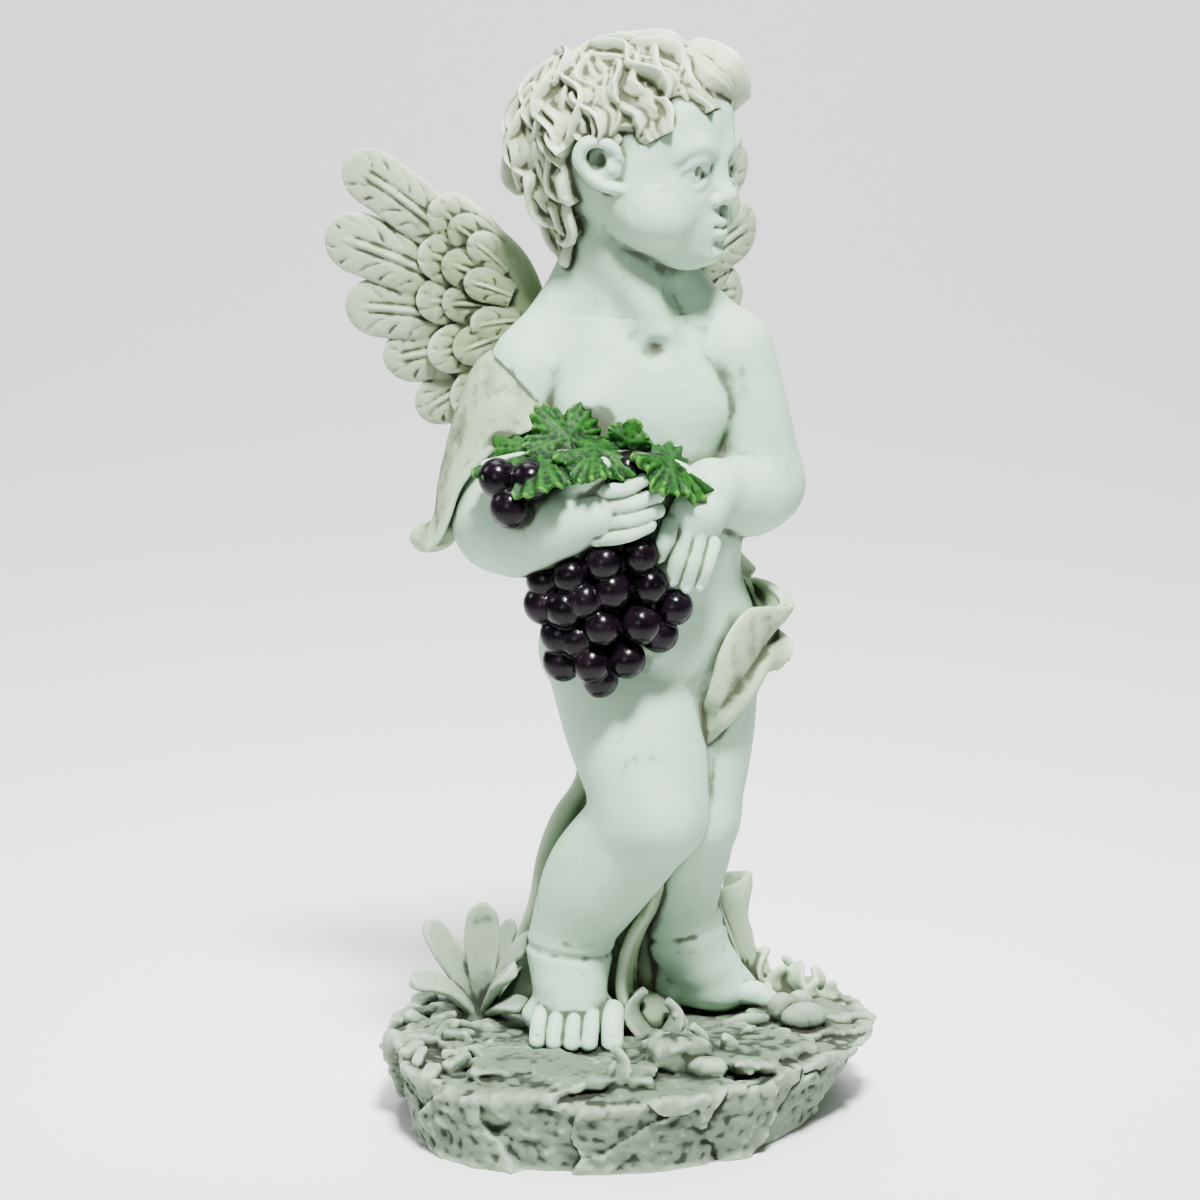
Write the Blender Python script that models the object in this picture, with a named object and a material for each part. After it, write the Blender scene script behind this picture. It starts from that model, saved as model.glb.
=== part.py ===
"""Cast garden figurine: a winged child holding grapes, one piece with its drapery and rocky base.

The form is sculpted in a block of voxels that hold distances to the surface. Limbs, head, hair,
feathers, cloth, leaves, grapes and stones are added to it with soft joins. The block is meshed, thinned to a few thousand faces and cut flat underneath. Positions are in thousandths of
the figure's height, measured from the top of the base. x is the viewer's right, y runs away from
the viewer and z is up. The origin is the middle of the underside.
"""

import math

import bpy
import numpy as np
import openvdb

FIGURE_HEIGHT = 0.375
BASE_THICKNESS = 0.030
BASE_RADIUS = 0.090

VOXEL = 3.4
GAP = 3.0
MOST_FACES = 9400

GRAPE_RADIUS = 18.5
LIMB_FULLNESS = 1.0
FEATHER_THICKNESS = 11.0
CLOTH_THICKNESS = 12.0
VINE_LEAF_THICKNESS = 10.0
PETAL_THICKNESS = 10.0
LOCK_WIDTH = 40.0
LOCK_THICKNESS = 14.0
LOCK_WAVE = 84.0
LOCK_SWING = 11.0
SCALP_REACH = 98.0
ROCK_ROUGHNESS = 2.4

TORSO_YAW = 20
HEAD_YAW = 60
HEAD_CENTRE = (0, 8, 872)
SCALP_CENTRE = (0, -14, 14)
SCALP_RADII = (88, 104, 90)
CROWN_TILT = 24
HAIR_SEED = 11
# How far from the crown the hair reaches (degrees), by bearing from the forehead
HAIR_EDGE = (
    (0, 82), (30, 86), (55, 90), (70, 84), (84, 74), (98, 80), (112, 112), (130, 127), (180, 127),
)
# Rows of locks from the crown down: where they start (share of the way), length, how many
HAIR_ROWS = ((0.02, 96, 5), (0.16, 98, 8), (0.36, 92, 11), (0.58, 84, 14), (0.8, 62, 16))
# Large rolls: bearing from the forehead and angle from the crown (degrees), length, height
HAIR_ROLLS = (
    (-24, 46, 74, 30), (14, 42, 98, 42), (38, 40, 80, 34), (66, 44, 70, 26), (-58, 42, 70, 24),
    (98, 26, 76, 26), (150, 34, 70, 24), (-110, 30, 70, 24), (20, 14, 70, 18), (-150, 60, 70, 22),
    (128, 70, 70, 22), (180, 66, 70, 22), (84, 66, 60, 22), (-84, 66, 60, 22),
)

# Rows of small feathers over the wing, outer row first: how many, how far they reach, half width
COVERT_ROWS = ((6, 100, 24), (6, 74, 20), (5, 50, 17))

BAND = 36.0
UNIT = FIGURE_HEIGHT / 1000
FLOOR = -BASE_THICKNESS / UNIT
BASE_REACH = BASE_RADIUS / UNIT
BASE_SPREAD = BASE_REACH / 240

# Radius of the base's rim and of its underside, as shares of BASE_RADIUS, each at its bearing
RIM = ((-180, 1.01), (-150, 1.06), (-130, 1.02), (-115, 0.91), (-95, 0.92), (-72, 0.86), (-45, 0.83),
       (-20, 0.86), (5, 0.99), (28, 1.09), (50, 1.11), (80, 1.06), (120, 1.04), (160, 1.04))
FOOT = ((-180, 0.96), (-150, 0.96), (-130, 0.94), (-110, 0.86), (-90, 0.80), (-60, 0.73), (-37, 0.70),
        (-14, 0.72), (10, 0.83), (35, 0.95), (60, 0.98), (120, 0.98), (160, 0.97))


# Vectors and curves


def turn(yaw=0, pitch=0, roll=0):
    """Matrix whose columns are the axes after a roll about y, a pitch about x and a yaw about z."""
    a, b, c = (math.radians(v) for v in (yaw, pitch, roll))
    rz = np.array([[math.cos(a), -math.sin(a), 0], [math.sin(a), math.cos(a), 0], [0, 0, 1]])
    rx = np.array([[1, 0, 0], [0, math.cos(b), -math.sin(b)], [0, math.sin(b), math.cos(b)]])
    ry = np.array([[math.cos(c), 0, math.sin(c)], [0, 1, 0], [-math.sin(c), 0, math.cos(c)]])
    return rz @ rx @ ry


def unit(v):
    v = np.asarray(v, float)
    return v / np.maximum(np.linalg.norm(v, axis=-1, keepdims=True), 1e-9)


def smooth_line(points, count):
    """Smooth curve through rows of numbers, as count rows."""
    p = np.asarray(points, float)
    p = np.concatenate([2 * p[:1] - p[1:2], p, 2 * p[-1:] - p[-2:-1]])
    at = np.linspace(0, len(p) - 3 - 1e-6, count)
    i = at.astype(int)
    t = (at - i).reshape((-1,) + (1,) * (p.ndim - 1))
    a, b, c, d = p[i], p[i + 1], p[i + 2], p[i + 3]
    bend = 2 * a - 5 * b + 4 * c - d
    return 0.5 * (2 * b + (c - a) * t + bend * t**2 + (3 * b - a - 3 * c + d) * t**3)


def grain(x, y, z, size, seed):
    """Smooth noise between -1 and 1 with bumps about as wide as size."""
    table = np.random.default_rng(seed).uniform(-1, 1, (16, 16, 16)).astype(np.float32)
    cells, parts = [], []
    for v in (x, y, z):
        v = np.asarray(v, np.float32) / size
        whole = np.floor(v)
        part = v - whole
        cells.append(whole.astype(np.int32))
        parts.append(part * part * (3 - 2 * part))
    total = 0
    for corner in range(8):
        weight, index = 1, []
        for axis in range(3):
            step = corner >> axis & 1
            weight = weight * (parts[axis] if step else 1 - parts[axis])
            index.append((cells[axis] + step) & 15)
        total = total + weight * table[tuple(index)]
    return total


# The block of voxels


def soft_min(a, b, blend):
    if blend <= 0:
        return np.minimum(a, b)
    near = np.clip(blend - np.abs(a - b), 0, None) / blend
    return np.minimum(a, b) - near * near * (blend / 4)


class Clay:
    """A block of voxels from corner low to corner high, each holding its distance to the surface."""

    def __init__(self, low, high, voxel):
        self.voxel = float(voxel)
        self.first = np.floor(np.asarray(low, float) / voxel).astype(int)
        last = np.ceil(np.asarray(high, float) / voxel).astype(int)
        self.field = np.full(last - self.first + 1, BAND, np.float32)

    def window(self, low, high):
        shape = self.field.shape
        a = np.floor(np.asarray(low, float) / self.voxel).astype(int) - self.first
        b = np.ceil(np.asarray(high, float) / self.voxel).astype(int) - self.first + 1
        a, b = np.clip(a, 0, shape), np.clip(b, 0, shape)
        spans = tuple(slice(int(i), int(j)) for i, j in zip(a, b))
        axes = [(np.arange(i, j) + f) * self.voxel for i, j, f in zip(a, b, self.first)]
        return spans, np.ix_(*[axis.astype(np.float32) for axis in axes])

    def place(self, form, blend, sign):
        low, high, distance = form
        pad = min(BAND, max(blend, 2 * self.voxel) + 2 * self.voxel)
        spans, (x, y, z) = self.window(np.asarray(low) - pad, np.asarray(high) + pad)
        part = self.field[spans]
        if part.size:
            new = distance(x, y, z).astype(np.float32)
            self.field[spans] = sign * soft_min(sign * part, new, blend)

    def add(self, form, blend=0.0):
        self.place(form, blend, 1)

    def cut(self, form, blend=0.0):
        self.place(form, blend, -1)

    def add_shell(self, rings, blend=0.0):
        """Adds the closed form whose outline runs through rings of points."""
        points, quads, triangles = loft(rings)
        wide = math.ceil(max(blend, 2 * self.voxel) / self.voxel) + 2
        grid = openvdb.FloatGrid.createLevelSetFromPolygons(
            np.asarray(points, np.float32),
            triangles=np.asarray(triangles, np.uint32),
            quads=np.asarray(quads, np.uint32),
            transform=openvdb.createLinearTransform(self.voxel),
            halfWidth=wide,
        )
        low, high = (np.array(corner) for corner in grid.evalActiveVoxelBoundingBox())
        a = np.clip(low - self.first, 0, self.field.shape)
        b = np.clip(high + 1 - self.first, 0, self.field.shape)
        block = np.empty(np.maximum(b - a, 0), np.float32)
        if block.size:
            grid.copyToArray(block, ijk=tuple(int(i) for i in a + self.first))
            block[np.abs(block) > 0.99 * wide * self.voxel] *= BAND
            spans = tuple(slice(int(i), int(j)) for i, j in zip(a, b))
            self.field[spans] = soft_min(self.field[spans], block, blend)

    def merge(self, other, blend=0.0):
        start = other.first - self.first
        a = np.clip(start, 0, self.field.shape)
        b = np.clip(start + np.array(other.field.shape), 0, self.field.shape)
        mine = tuple(slice(int(i), int(j)) for i, j in zip(a, b))
        theirs = tuple(slice(int(i - s), int(j - s)) for i, j, s in zip(a, b, start))
        self.field[mine] = soft_min(self.field[mine], other.field[theirs], blend)

    def soften(self, times):
        """Evens out the surface over about as many voxels as times."""
        for _ in range(times):
            for axis in range(3):
                f = np.moveaxis(self.field, axis, 0)
                f[1:-1] = 0.25 * f[:-2] + 0.5 * f[1:-1] + 0.25 * f[2:]

    def close_gaps(self, reach):
        """Fills sealed hollows, and tunnels and cracks narrower than about twice reach."""
        grid = openvdb.FloatGrid(BAND)
        grid.copyFromArray(self.field, tolerance=0.0)
        points, _, quads = grid.convertToPolygons(isovalue=reach, adaptivity=0.0)
        points, quads = outer_skin(points, quads)
        grid = openvdb.FloatGrid.createLevelSetFromPolygons(
            points.astype(np.float32),
            quads=quads.astype(np.uint32),
            halfWidth=math.ceil(reach / self.voxel) + 3,
        )
        grid.copyToArray(self.field)
        self.field *= self.voxel
        self.field += reach

    def fill_pinches(self):
        """Fills the voxels round each spot where two surfaces would meet in an edge or a point."""
        corners = [(i, j, k) for i in (0, 1) for j in (0, 1) for k in (0, 1)]
        groups = [[c for c in corners if c[axis] == 0] for axis in range(3)]
        for _ in range(12):
            inside = self.field < 0
            found = 0
            for group in groups:
                views = {c: self.view(inside, c, group) for c in group}
                low, high = group[0], group[3]
                side, other = group[1], group[2]
                crossed = (views[low] == views[high]) & (views[side] == views[other])
                crossed &= views[low] != views[side]
                found += crossed.sum()
                for c in group:
                    self.view(self.field, c, group)[crossed] = np.minimum(
                        self.view(self.field, c, group)[crossed], -0.25 * self.voxel
                    )
            for c in corners[:4]:
                far = tuple(1 - v for v in c)
                views = {v: self.view(inside, v, corners) for v in corners}
                total = sum(v.astype(np.int8) for v in views.values())
                same = views[c] == views[far]
                lone = same & (((total == 2) & views[c]) | ((total == 6) & ~views[c]))
                found += lone.sum()
                for v in corners:
                    self.view(self.field, v, corners)[lone] = np.minimum(
                        self.view(self.field, v, corners)[lone], -0.25 * self.voxel
                    )
            if not found:
                break

    @staticmethod
    def view(values, corner, group):
        """The values at one corner of every cell, or of every cell face when the group is flat."""
        spans = []
        for axis in range(3):
            flat = all(c[axis] == 0 for c in group)
            spans.append(slice(None) if flat else slice(1, None) if corner[axis] else slice(None, -1))
        return values[tuple(spans)]

    def polygons(self, gap=0.0):
        if gap:
            self.close_gaps(gap)
        self.fill_pinches()
        grid = openvdb.FloatGrid(BAND)
        grid.copyFromArray(self.field, tolerance=0.0)
        points, _, quads = grid.convertToPolygons(isovalue=0.0, adaptivity=0.0)
        return outer_skin((points + self.first) * self.voxel, quads)


def outer_skin(points, quads):
    """The largest connected surface, which leaves out sealed hollows and loose crumbs."""
    label = np.arange(len(points))
    while True:
        new = label.copy()
        low = label[quads].min(1)
        for column in range(4):
            np.minimum.at(new, quads[:, column], low)
        new = new[new]
        if (new == label).all():
            break
        label = new
    names, counts = np.unique(label, return_counts=True)
    keep = label == names[counts.argmax()]
    index = np.cumsum(keep) - 1
    return points[keep], index[quads[keep[quads[:, 0]]]]


# Forms: each is the two corners of its box and its distance function


def egg(centre, radii, axes=None):
    centre = np.asarray(centre, float)
    radii = np.asarray(radii, float) * np.ones(3)
    axes = np.eye(3) if axes is None else axes
    reach = np.sqrt(((axes * radii) ** 2).sum(1))

    def distance(x, y, z):
        p = [x - centre[0], y - centre[1], z - centre[2]]
        q = [sum(axes[j, i] * p[j] for j in range(3)) / radii[i] for i in range(3)]
        inner = np.sqrt(sum(v * v for v in q))
        slope = np.sqrt(sum((v / r) ** 2 for v, r in zip(q, radii)))
        return inner * (inner - 1) / np.maximum(slope, 1e-6)

    return centre - reach, centre + reach, distance


def stone(centre, radii, axes=None, rough=0.0, seed=0, power=4.0):
    """Block with rounded edges and an uneven surface."""
    centre, radii = np.asarray(centre, float), np.asarray(radii, float)
    axes = np.eye(3) if axes is None else axes
    reach = np.abs(axes) @ radii + rough

    def distance(x, y, z):
        p = [x - centre[0], y - centre[1], z - centre[2]]
        q = [np.abs(sum(axes[j, i] * p[j] for j in range(3))) / radii[i] for i in range(3)]
        d = (sum(v**power for v in q) ** (1 / power) - 1) * radii.min()
        return d + rough * grain(x, y, z, 17, seed) + 0.5 * rough * grain(x, y, z, 8, seed + 1)

    return centre - reach, centre + reach, distance


def limb(stations, count=0):
    """Round tube through rows of x, y, z and radius."""
    rows = np.asarray(stations, float)
    if len(rows) > 2:
        rows = smooth_line(rows, count or 7 * len(rows))
    pts, rad = rows[:, :3], rows[:, 3]

    def distance(x, y, z):
        best = BAND
        for a, b, ra, rb in zip(pts[:-1], pts[1:], rad[:-1], rad[1:]):
            ab = b - a
            along = (x - a[0]) * ab[0] + (y - a[1]) * ab[1] + (z - a[2]) * ab[2]
            t = np.clip(along / max(ab @ ab, 1e-9), 0, 1)
            off = [v - i - j * t for v, i, j in zip((x, y, z), a, ab)]
            best = np.minimum(best, np.sqrt(sum(o * o for o in off)) - (ra + (rb - ra) * t))
        return best

    return (pts - rad[:, None]).min(0), (pts + rad[:, None]).max(0), distance


def fuller(rows):
    return [(x, y, z, r * LIMB_FULLNESS) for x, y, z, r in rows]


# Forms made from rings of points


def loft(rings):
    """Points, quads and triangles of the closed mesh through the rings, with a fan over each end."""
    rings = np.asarray(rings, float)
    n, m = rings.shape[:2]
    points = np.vstack([rings.reshape(-1, 3), rings[0].mean(0), rings[-1].mean(0)])
    i, j = np.meshgrid(np.arange(n - 1), np.arange(m), indexing="ij")
    k = (j + 1) % m
    quads = np.stack([i * m + j, i * m + k, (i + 1) * m + k, (i + 1) * m + j], -1)
    j = np.arange(m)
    k = (j + 1) % m
    start = np.stack([np.full(m, n * m), k, j], -1)
    end = np.stack([np.full(m, n * m + 1), (n - 1) * m + j, (n - 1) * m + k], -1)
    return points, quads.reshape(-1, 4), np.vstack([start, end])


def blade(line, width, thick, facing, cup=0.0, tilt=0.0, relief=None, flat=1.0, sides=36):
    """Rings of a strip along line. width and thick are half sizes at each point of the line,
    facing is where its broad side looks, cup bends its edges up, tilt turns it (degrees), and
    flat under 1 squares its section. relief(t, x) raises that side, t along and x across."""
    line = np.asarray(line, float)
    tangent = unit(np.gradient(line, axis=0))
    side = unit(np.cross(tangent, np.broadcast_to(np.asarray(facing, float), line.shape)))
    up = unit(np.cross(side, tangent))
    tilt = np.radians(np.broadcast_to(tilt, len(line)))[:, None]
    side, up = side * np.cos(tilt) + up * np.sin(tilt), up * np.cos(tilt) - side * np.sin(tilt)
    a = np.linspace(0, 2 * math.pi, sides, endpoint=False)
    cx, sx = np.cos(a), np.sin(a)
    w = np.broadcast_to(width, len(line))[:, None] * cx
    h = np.broadcast_to(thick, len(line))[:, None] * np.sign(sx) * np.abs(sx) ** flat
    if relief is not None:
        h = h + relief(np.linspace(0, 1, len(line))[:, None], cx[None, :]) * (sx > 0)
    h = h + np.broadcast_to(cup, len(line))[:, None] * np.abs(w) * np.abs(cx)
    return line[:, None] + side[:, None] * w[..., None] + up[:, None] * h[..., None]


def cloth(rows, thick, across=30, along=30, fold=None):
    """Rings of a sheet of cloth through rows of points, thinner at its rim."""
    net = smooth_line([smooth_line(row, along) for row in rows], across)
    facing = unit(np.cross(np.gradient(net, axis=0), np.gradient(net, axis=1)))
    u, v = np.meshgrid(np.linspace(0, 1, across), np.linspace(0, 1, along), indexing="ij")
    if fold is not None:
        net = net + facing * fold(u, v)[..., None]
        facing = unit(np.cross(np.gradient(net, axis=0), np.gradient(net, axis=1)))
    rim = np.minimum(np.minimum(u, 1 - u), np.minimum(v, 1 - v))
    half = thick / 2 * np.clip(0.45 + 5 * rim, 0, 1)[..., None]
    return np.concatenate([net + facing * half, (net - facing * half)[:, ::-1]], axis=1)


# Body


def torso(c):
    ax = turn(yaw=TORSO_YAW)
    side, back = ax[:, 0], ax[:, 1]
    c.add(egg((-2, 12, 612), (92, 74, 102), ax))
    c.add(egg((0, 14, 668), (102, 54, 46), turn(yaw=12)), 26)
    c.add(egg((12, 2, 506), (95, 92, 92), ax), 34)
    c.add(egg((22, 18, 412), (100, 84, 80), ax), 34)
    hips = np.array([22, 18, 385.0])
    chest = np.array([0, 12, 634.0])
    for s in (-1, 1):
        c.add(egg(hips + back * 50 + side * 44 * s, (57, 52, 58), ax), 12)
        c.add(egg(chest - back * 44 + side * 42 * s, (44, 24, 32), ax), 30)
        c.add(egg(chest + back * 48 + side * 48 * s, (42, 22, 46), ax), 26)
    c.add(limb([(-6, 16, 680, 62), (-10, 20, 735, 54), (-8, 20, 800, 52)]), 30)
    c.add(limb([(-44, 26, 760, 26), (-76, 12, 712, 28), (-100, 0, 682, 32)]), 30)
    c.add(limb([(34, 32, 752, 28), (68, 30, 716, 30), (94, 22, 692, 32)]), 30)
    c.add(limb([(-26, -10, 800, 18), (4, -34, 752, 17), (22, -34, 712, 11)]), 26)
    c.cut(egg((22, -52, 694), (12, 11, 8)), 14)
    # The crease under the belly
    c.cut(limb([(88, -62, 430, 3), (62, -76, 404, 3), (30, -80, 386, 3), (0, -74, 382, 2)]), 9)
    c.cut(egg((30, -92, 476), (5, 9, 7)), 8)
    for s in (-1, 1):
        c.add(egg(chest - back * 66 + side * 46 * s - (0, 0, 8), 4), 4)


def arm_right(c):
    upper = [(-98, -2, 666, 43), (-116, -10, 614, 43), (-126, -24, 562, 43), (-124, -40, 526, 46)]
    fore = [(-126, -40, 524, 46), (-106, -76, 526, 47), (-80, -98, 535, 39), (-58, -106, 541, 31)]
    c.add(limb(fuller(upper)), 4)
    c.add(limb(fuller(fore)), 12)


def hand_right(c):
    c.add(limb([(-62, -106, 541, 31), (-50, -110, 545, 29), (-36, -113, 548, 27)]), 5)
    c.add(egg((-36, -112, 548), (26, 17, 32), turn(yaw=8, roll=-18)), 6)
    for k in range(4):
        reach = (0, 14, 14, 6)[k]
        z = 571 - 14.5 * k
        r = 8.6 - 0.7 * (k == 3)
        finger = [(-34, -122, z - 2, r + 1), (-10 + reach * 0.4, -131, z + 3, r)]
        finger += [(8 + reach, -128, z + 11, r - 1)]
        c.add(limb(finger), 1.5)
        nail(c, finger[-1][:3], (0.72, -0.6, 0.35), 4.6)
    c.add(limb([(-62, -112, 562, 13), (-46, -122, 580, 12), (-30, -126, 594, 10)]), 5)


def arm_left(c):
    upper = [(94, 20, 682, 43), (110, 22, 622, 42), (121, 26, 566, 43), (122, 27, 552, 42)]
    fore = [(124, 28, 552, 43), (110, 0, 546, 42), (92, -34, 552, 35), (74, -62, 562, 29)]
    c.add(limb(fuller(upper)), 4)
    c.add(limb(fuller(fore)), 12)


def hand_left(c):
    c.add(limb([(75, -62, 561, 29), (70, -74, 555, 27), (64, -86, 546, 26)]), 5)
    c.add(egg((58, -92, 536), (28, 16, 33), turn(yaw=18, roll=20)), 6)
    for k in range(4):
        x, y, z = 36 + 13 * k, -103 + 2 * k, 536 - 7 * k
        drop = (30, 46, 46, 38)[k]
        r = 8.8 - 0.8 * (k == 3)
        finger = [(x, y, z, r), (x - 6, y - 9, z - 0.5 * drop, r), (x - 12, y - 4, z - drop, r - 1.4)]
        c.add(limb(finger), 1.5)
        nail(c, finger[-1][:3], (-0.1, -0.75, -0.65), 4.6)


def nail(c, spot, way, size):
    """A finger or toe nail on the end of a round tip."""
    way = unit(np.array(way, float))
    side = unit(np.cross((0, 0, 1), way))
    ax = np.stack([side, way, np.cross(side, way)], 1)
    c.cut(egg(np.array(spot) + way * size * 1.75, (size, 1.5, size * 1.1), ax), 0.8)
    c.add(egg(np.array(spot) + way * size * 1.45, (size * 0.78, 1.6, size * 0.9), ax), 0.4)


def leg_right(c):
    thigh = [(-8, 6, 372, 74), (2, -16, 322, 69), (12, -38, 278, 61), (18, -50, 244, 54)]
    shin = [(18, -46, 238, 52), (-10, -22, 198, 54), (-34, -4, 162, 53), (-54, 10, 120, 44)]
    shin += [(-62, 17, 92, 40)]
    c.add(limb(fuller(thigh)))
    c.add(limb(fuller(shin)), 14)
    c.add(egg((28, -84, 248), (26, 20, 27)), 20)


def foot_right(c):
    c.add(egg((-64, 42, 28), (34, 38, 34)))
    c.add(limb([(-62, 18, 78, 40), (-62, 2, 52, 37), (-60, -14, 34, 28)]), 16)
    c.add(egg((-60, 0, 21), (50, 36, 24)), 12)
    for k in range(5):
        big = k == 4
        x, reach = -94 + 17 * k + 2 * big, (30, 36, 39, 38, 37)[k]
        r = (8.2, 8.3, 8.5, 8.8, 11)[k]
        toe = [(x + 5, -18, 30, r), (x + 2 + 2 * big, -26 - 0.5 * reach, 25, r + 0.4)]
        toe += [(x + 4 * big, -22 - reach, 9, r)]
        c.add(limb(toe), 0.8)
        nail(c, toe[-1][:3], (0, -0.85, 0.55), 0.5 * r)


def leg_left(c):
    thigh = [(60, 24, 362, 64), (64, 24, 304, 56), (62, 18, 254, 49), (58, 16, 224, 47)]
    shin = [(58, 18, 220, 46), (54, 38, 182, 45), (50, 57, 142, 40), (50, 69, 114, 37)]
    shin += [(54, 75, 92, 38)]
    c.add(limb(fuller(thigh)))
    c.add(limb(fuller(shin)), 14)
    c.add(egg((64, -14, 224), (25, 17, 24)), 18)


def foot_left(c):
    c.add(egg((30, 92, 30), (34, 32, 34)))
    c.add(limb([(52, 77, 78, 39), (70, 80, 52, 36), (90, 84, 32, 27)]), 16)
    c.add(egg((86, 92, 22), (42, 38, 23)), 12)
    for k in range(5):
        big = k == 0
        across, reach = 71 + 14 * k + 4 * (not big), (38, 38, 36, 32, 27)[k]
        r = (12.5, 8.8, 8.5, 8.2, 8)[k]
        start = 104 - 3 * k
        toe = [(start, across, 24, r), (start + 0.6 * reach, across + 2 * k, 20, r + 0.4)]
        toe += [(start + reach, across + 2.5 * k, 9, r)]
        c.add(limb(toe), 0.8)
        nail(c, toe[-1][:3], (0.85, -0.15, 0.5), 0.5 * r)


def body(voxel):
    low, high = (-190, -190, -30), (190, 190, 840)
    c = Clay(low, high, voxel)
    torso(c)
    for joint, blend in (
        ((arm_right, hand_right), 5),
        ((arm_left, hand_left), 5),
        ((leg_right, foot_right), 8),
        ((leg_left, foot_left), 8),
    ):
        group = Clay(low, high, voxel)
        joint[0](group)
        group.soften(round(4.8 / voxel))
        joint[1](group)
        c.merge(group, blend)
    # The deep rings of fat above the ankles and the crease at each wrist
    for centre, radius, tilt in (((-62, 17, 86), 45, 6), ((54, 76, 88), 44, -12)):
        ring(c, centre, radius, turn(roll=tilt), 3.2)
    return c


def ring(c, centre, radius, axes, wide):
    """Cuts a groove round a limb."""
    a = np.linspace(0, 2 * math.pi, 25)
    spots = np.asarray(centre) + np.stack([np.cos(a), np.sin(a), 0 * a], -1) * radius @ axes.T
    c.cut(limb([(*p, wide) for p in spots], 49), 5)


# Head


def head_spot(s, f, v):
    """A point of the head: s to its left, f forward and v up."""
    return np.array(HEAD_CENTRE) + turn(yaw=HEAD_YAW) @ np.array([s, -f, v])


def track(points, side=1):
    return [(*head_spot(s * side, f, v), r) for s, f, v, r in points]


def head(c):
    ax = turn(yaw=HEAD_YAW)
    c.add(egg(head_spot(0, -12, 12), (84, 101, 87), ax))
    c.add(egg(head_spot(0, 34, -22), (74, 59, 70), ax), 30)
    for s in (-1, 1):
        c.add(egg(head_spot(42 * s, 50, -46), (38, 37, 35), ax), 22)
        c.add(egg(head_spot(28 * s, 60, 36), (32, 27, 30), ax), 28)
    c.add(egg(head_spot(0, 62, -80), (32, 27, 24), ax), 24)
    c.add(egg(head_spot(0, 84, -84), (13, 10, 11), ax), 12)
    c.add(egg(head_spot(0, 76, -58), (25, 18, 20), ax), 18)
    for s in (-1, 1):
        eye(c, s, ax)
        ear(c, s, ax)
    nose(c, ax)
    mouth(c)


def eye(c, s, ax):
    c.cut(egg(head_spot(36 * s, 98, -6), (23, 13, 16), ax), 16)
    c.add(egg(head_spot(34.5 * s, 70, -9), (20, 19, 17)), 2)
    upper = [(16, 87, -12, 2.4), (24, 91, -2, 3.6), (35, 90.5, 3.5, 4.2), (47, 83, -2, 3.6)]
    lower = [(16, 87, -12, 2.4), (25, 89, -19, 2.8), (36, 87, -22, 3.0), (47, 80.5, -18, 2.8)]
    outer = [(55, 73, -11, 2.2)]
    c.add(limb(track(upper + outer, s)), 4)
    c.add(limb(track(lower + outer, s)), 5)
    c.add(limb(track([(18, 92, 10, 4), (34, 92, 18, 5), (53, 79, 13, 4)], s)), 18)
    c.cut(egg(head_spot(35 * s, 91.5, -9), (6, 4.5, 6.5), ax), 1)


def nose(c, ax):
    c.add(limb(track([(0, 88, 2, 7), (0, 93, -14, 7), (0, 100, -29, 8)])), 14)
    c.add(egg(head_spot(0, 102, -31), (10, 9.5, 8.5), ax), 6)
    for s in (-1, 1):
        c.add(egg(head_spot(10.5 * s, 95, -35), (7, 8, 6.5), ax), 4)
        c.cut(egg(head_spot(5.5 * s, 100, -41), (2.8, 3.5, 2.8), ax), 1.5)
    c.cut(limb(track([(0, 99, -45, 2), (0, 97, -51, 2)])), 6)


def mouth(c):
    upper = [(-16, 85, -59.5, 2.4), (-8, 93, -56, 4.8), (0, 95, -57.5, 4.6)]
    lower = [(-13, 86, -64, 3.0), (-7, 92, -67.5, 5.6), (0, 93.5, -68.5, 6)]
    parting = [(-17, 86, -60.5, 0.8), (-9, 97, -61.5, 1.2), (0, 99, -63, 1.2)]
    for rows in (upper, lower):
        c.add(limb(track(rows + [(-s, f, v, r) for s, f, v, r in rows[1::-1]])), 4)
    c.cut(limb(track(parting + [(-s, f, v, r) for s, f, v, r in parting[1::-1]])), 2.5)
    c.cut(limb(track([(-8, 96, -79, 3), (8, 96, -79, 3)])), 9)


def ear(c, side, ax):
    c.add(egg(head_spot(82 * side, 14, 2), (9, 17, 20), ax), 8)
    rim = [(84, 31, 8, 4), (87, 28, 17, 5.5), (93, 15, 23, 6.5), (97, 2, 19, 7), (96, -4, 6, 7)]
    rim += [(91, 1, -6, 6.5), (87, 10, -15, 6.5), (84, 22, -20, 6.5), (80, 33, -22, 5)]
    c.add(limb(track(rim, side)), 4)
    c.cut(egg(head_spot(93 * side, 13, 4), (10, 9, 11), ax), 5)
    c.add(egg(head_spot(84 * side, 26, -2), (6, 4, 6), ax), 4)


# Hair


def scalp(polar, around, height):
    """Points height above the scalp, and the way it faces there. polar is the angle from the
    crown and around is 0 over the forehead (radians)."""
    tilt = math.radians(CROWN_TILT)
    s = np.sin(polar) * np.sin(around)
    f, v = np.sin(polar) * np.cos(around), np.cos(polar)
    f, v = f * math.cos(tilt) - v * math.sin(tilt), f * math.sin(tilt) + v * math.cos(tilt)
    way = np.stack([s, f, v], -1)
    radii = np.array(SCALP_RADII)
    spot = way / np.linalg.norm(way / radii, axis=-1, keepdims=True)
    facing = unit(spot / radii**2)
    p = np.array(SCALP_CENTRE) + spot + facing * np.asarray(height)[..., None]
    ax = turn(yaw=HEAD_YAW) * np.array([1, -1, 1])
    return np.array(HEAD_CENTRE) + p @ ax.T, facing @ ax.T


def hair_edge(around):
    """How far from the crown the hair reaches (degrees). It leaves the ears free."""
    a = np.abs((np.degrees(around) + 180) % 360 - 180)
    bearings, angles = zip(*HAIR_EDGE)
    return np.interp(a, bearings, angles)


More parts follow.
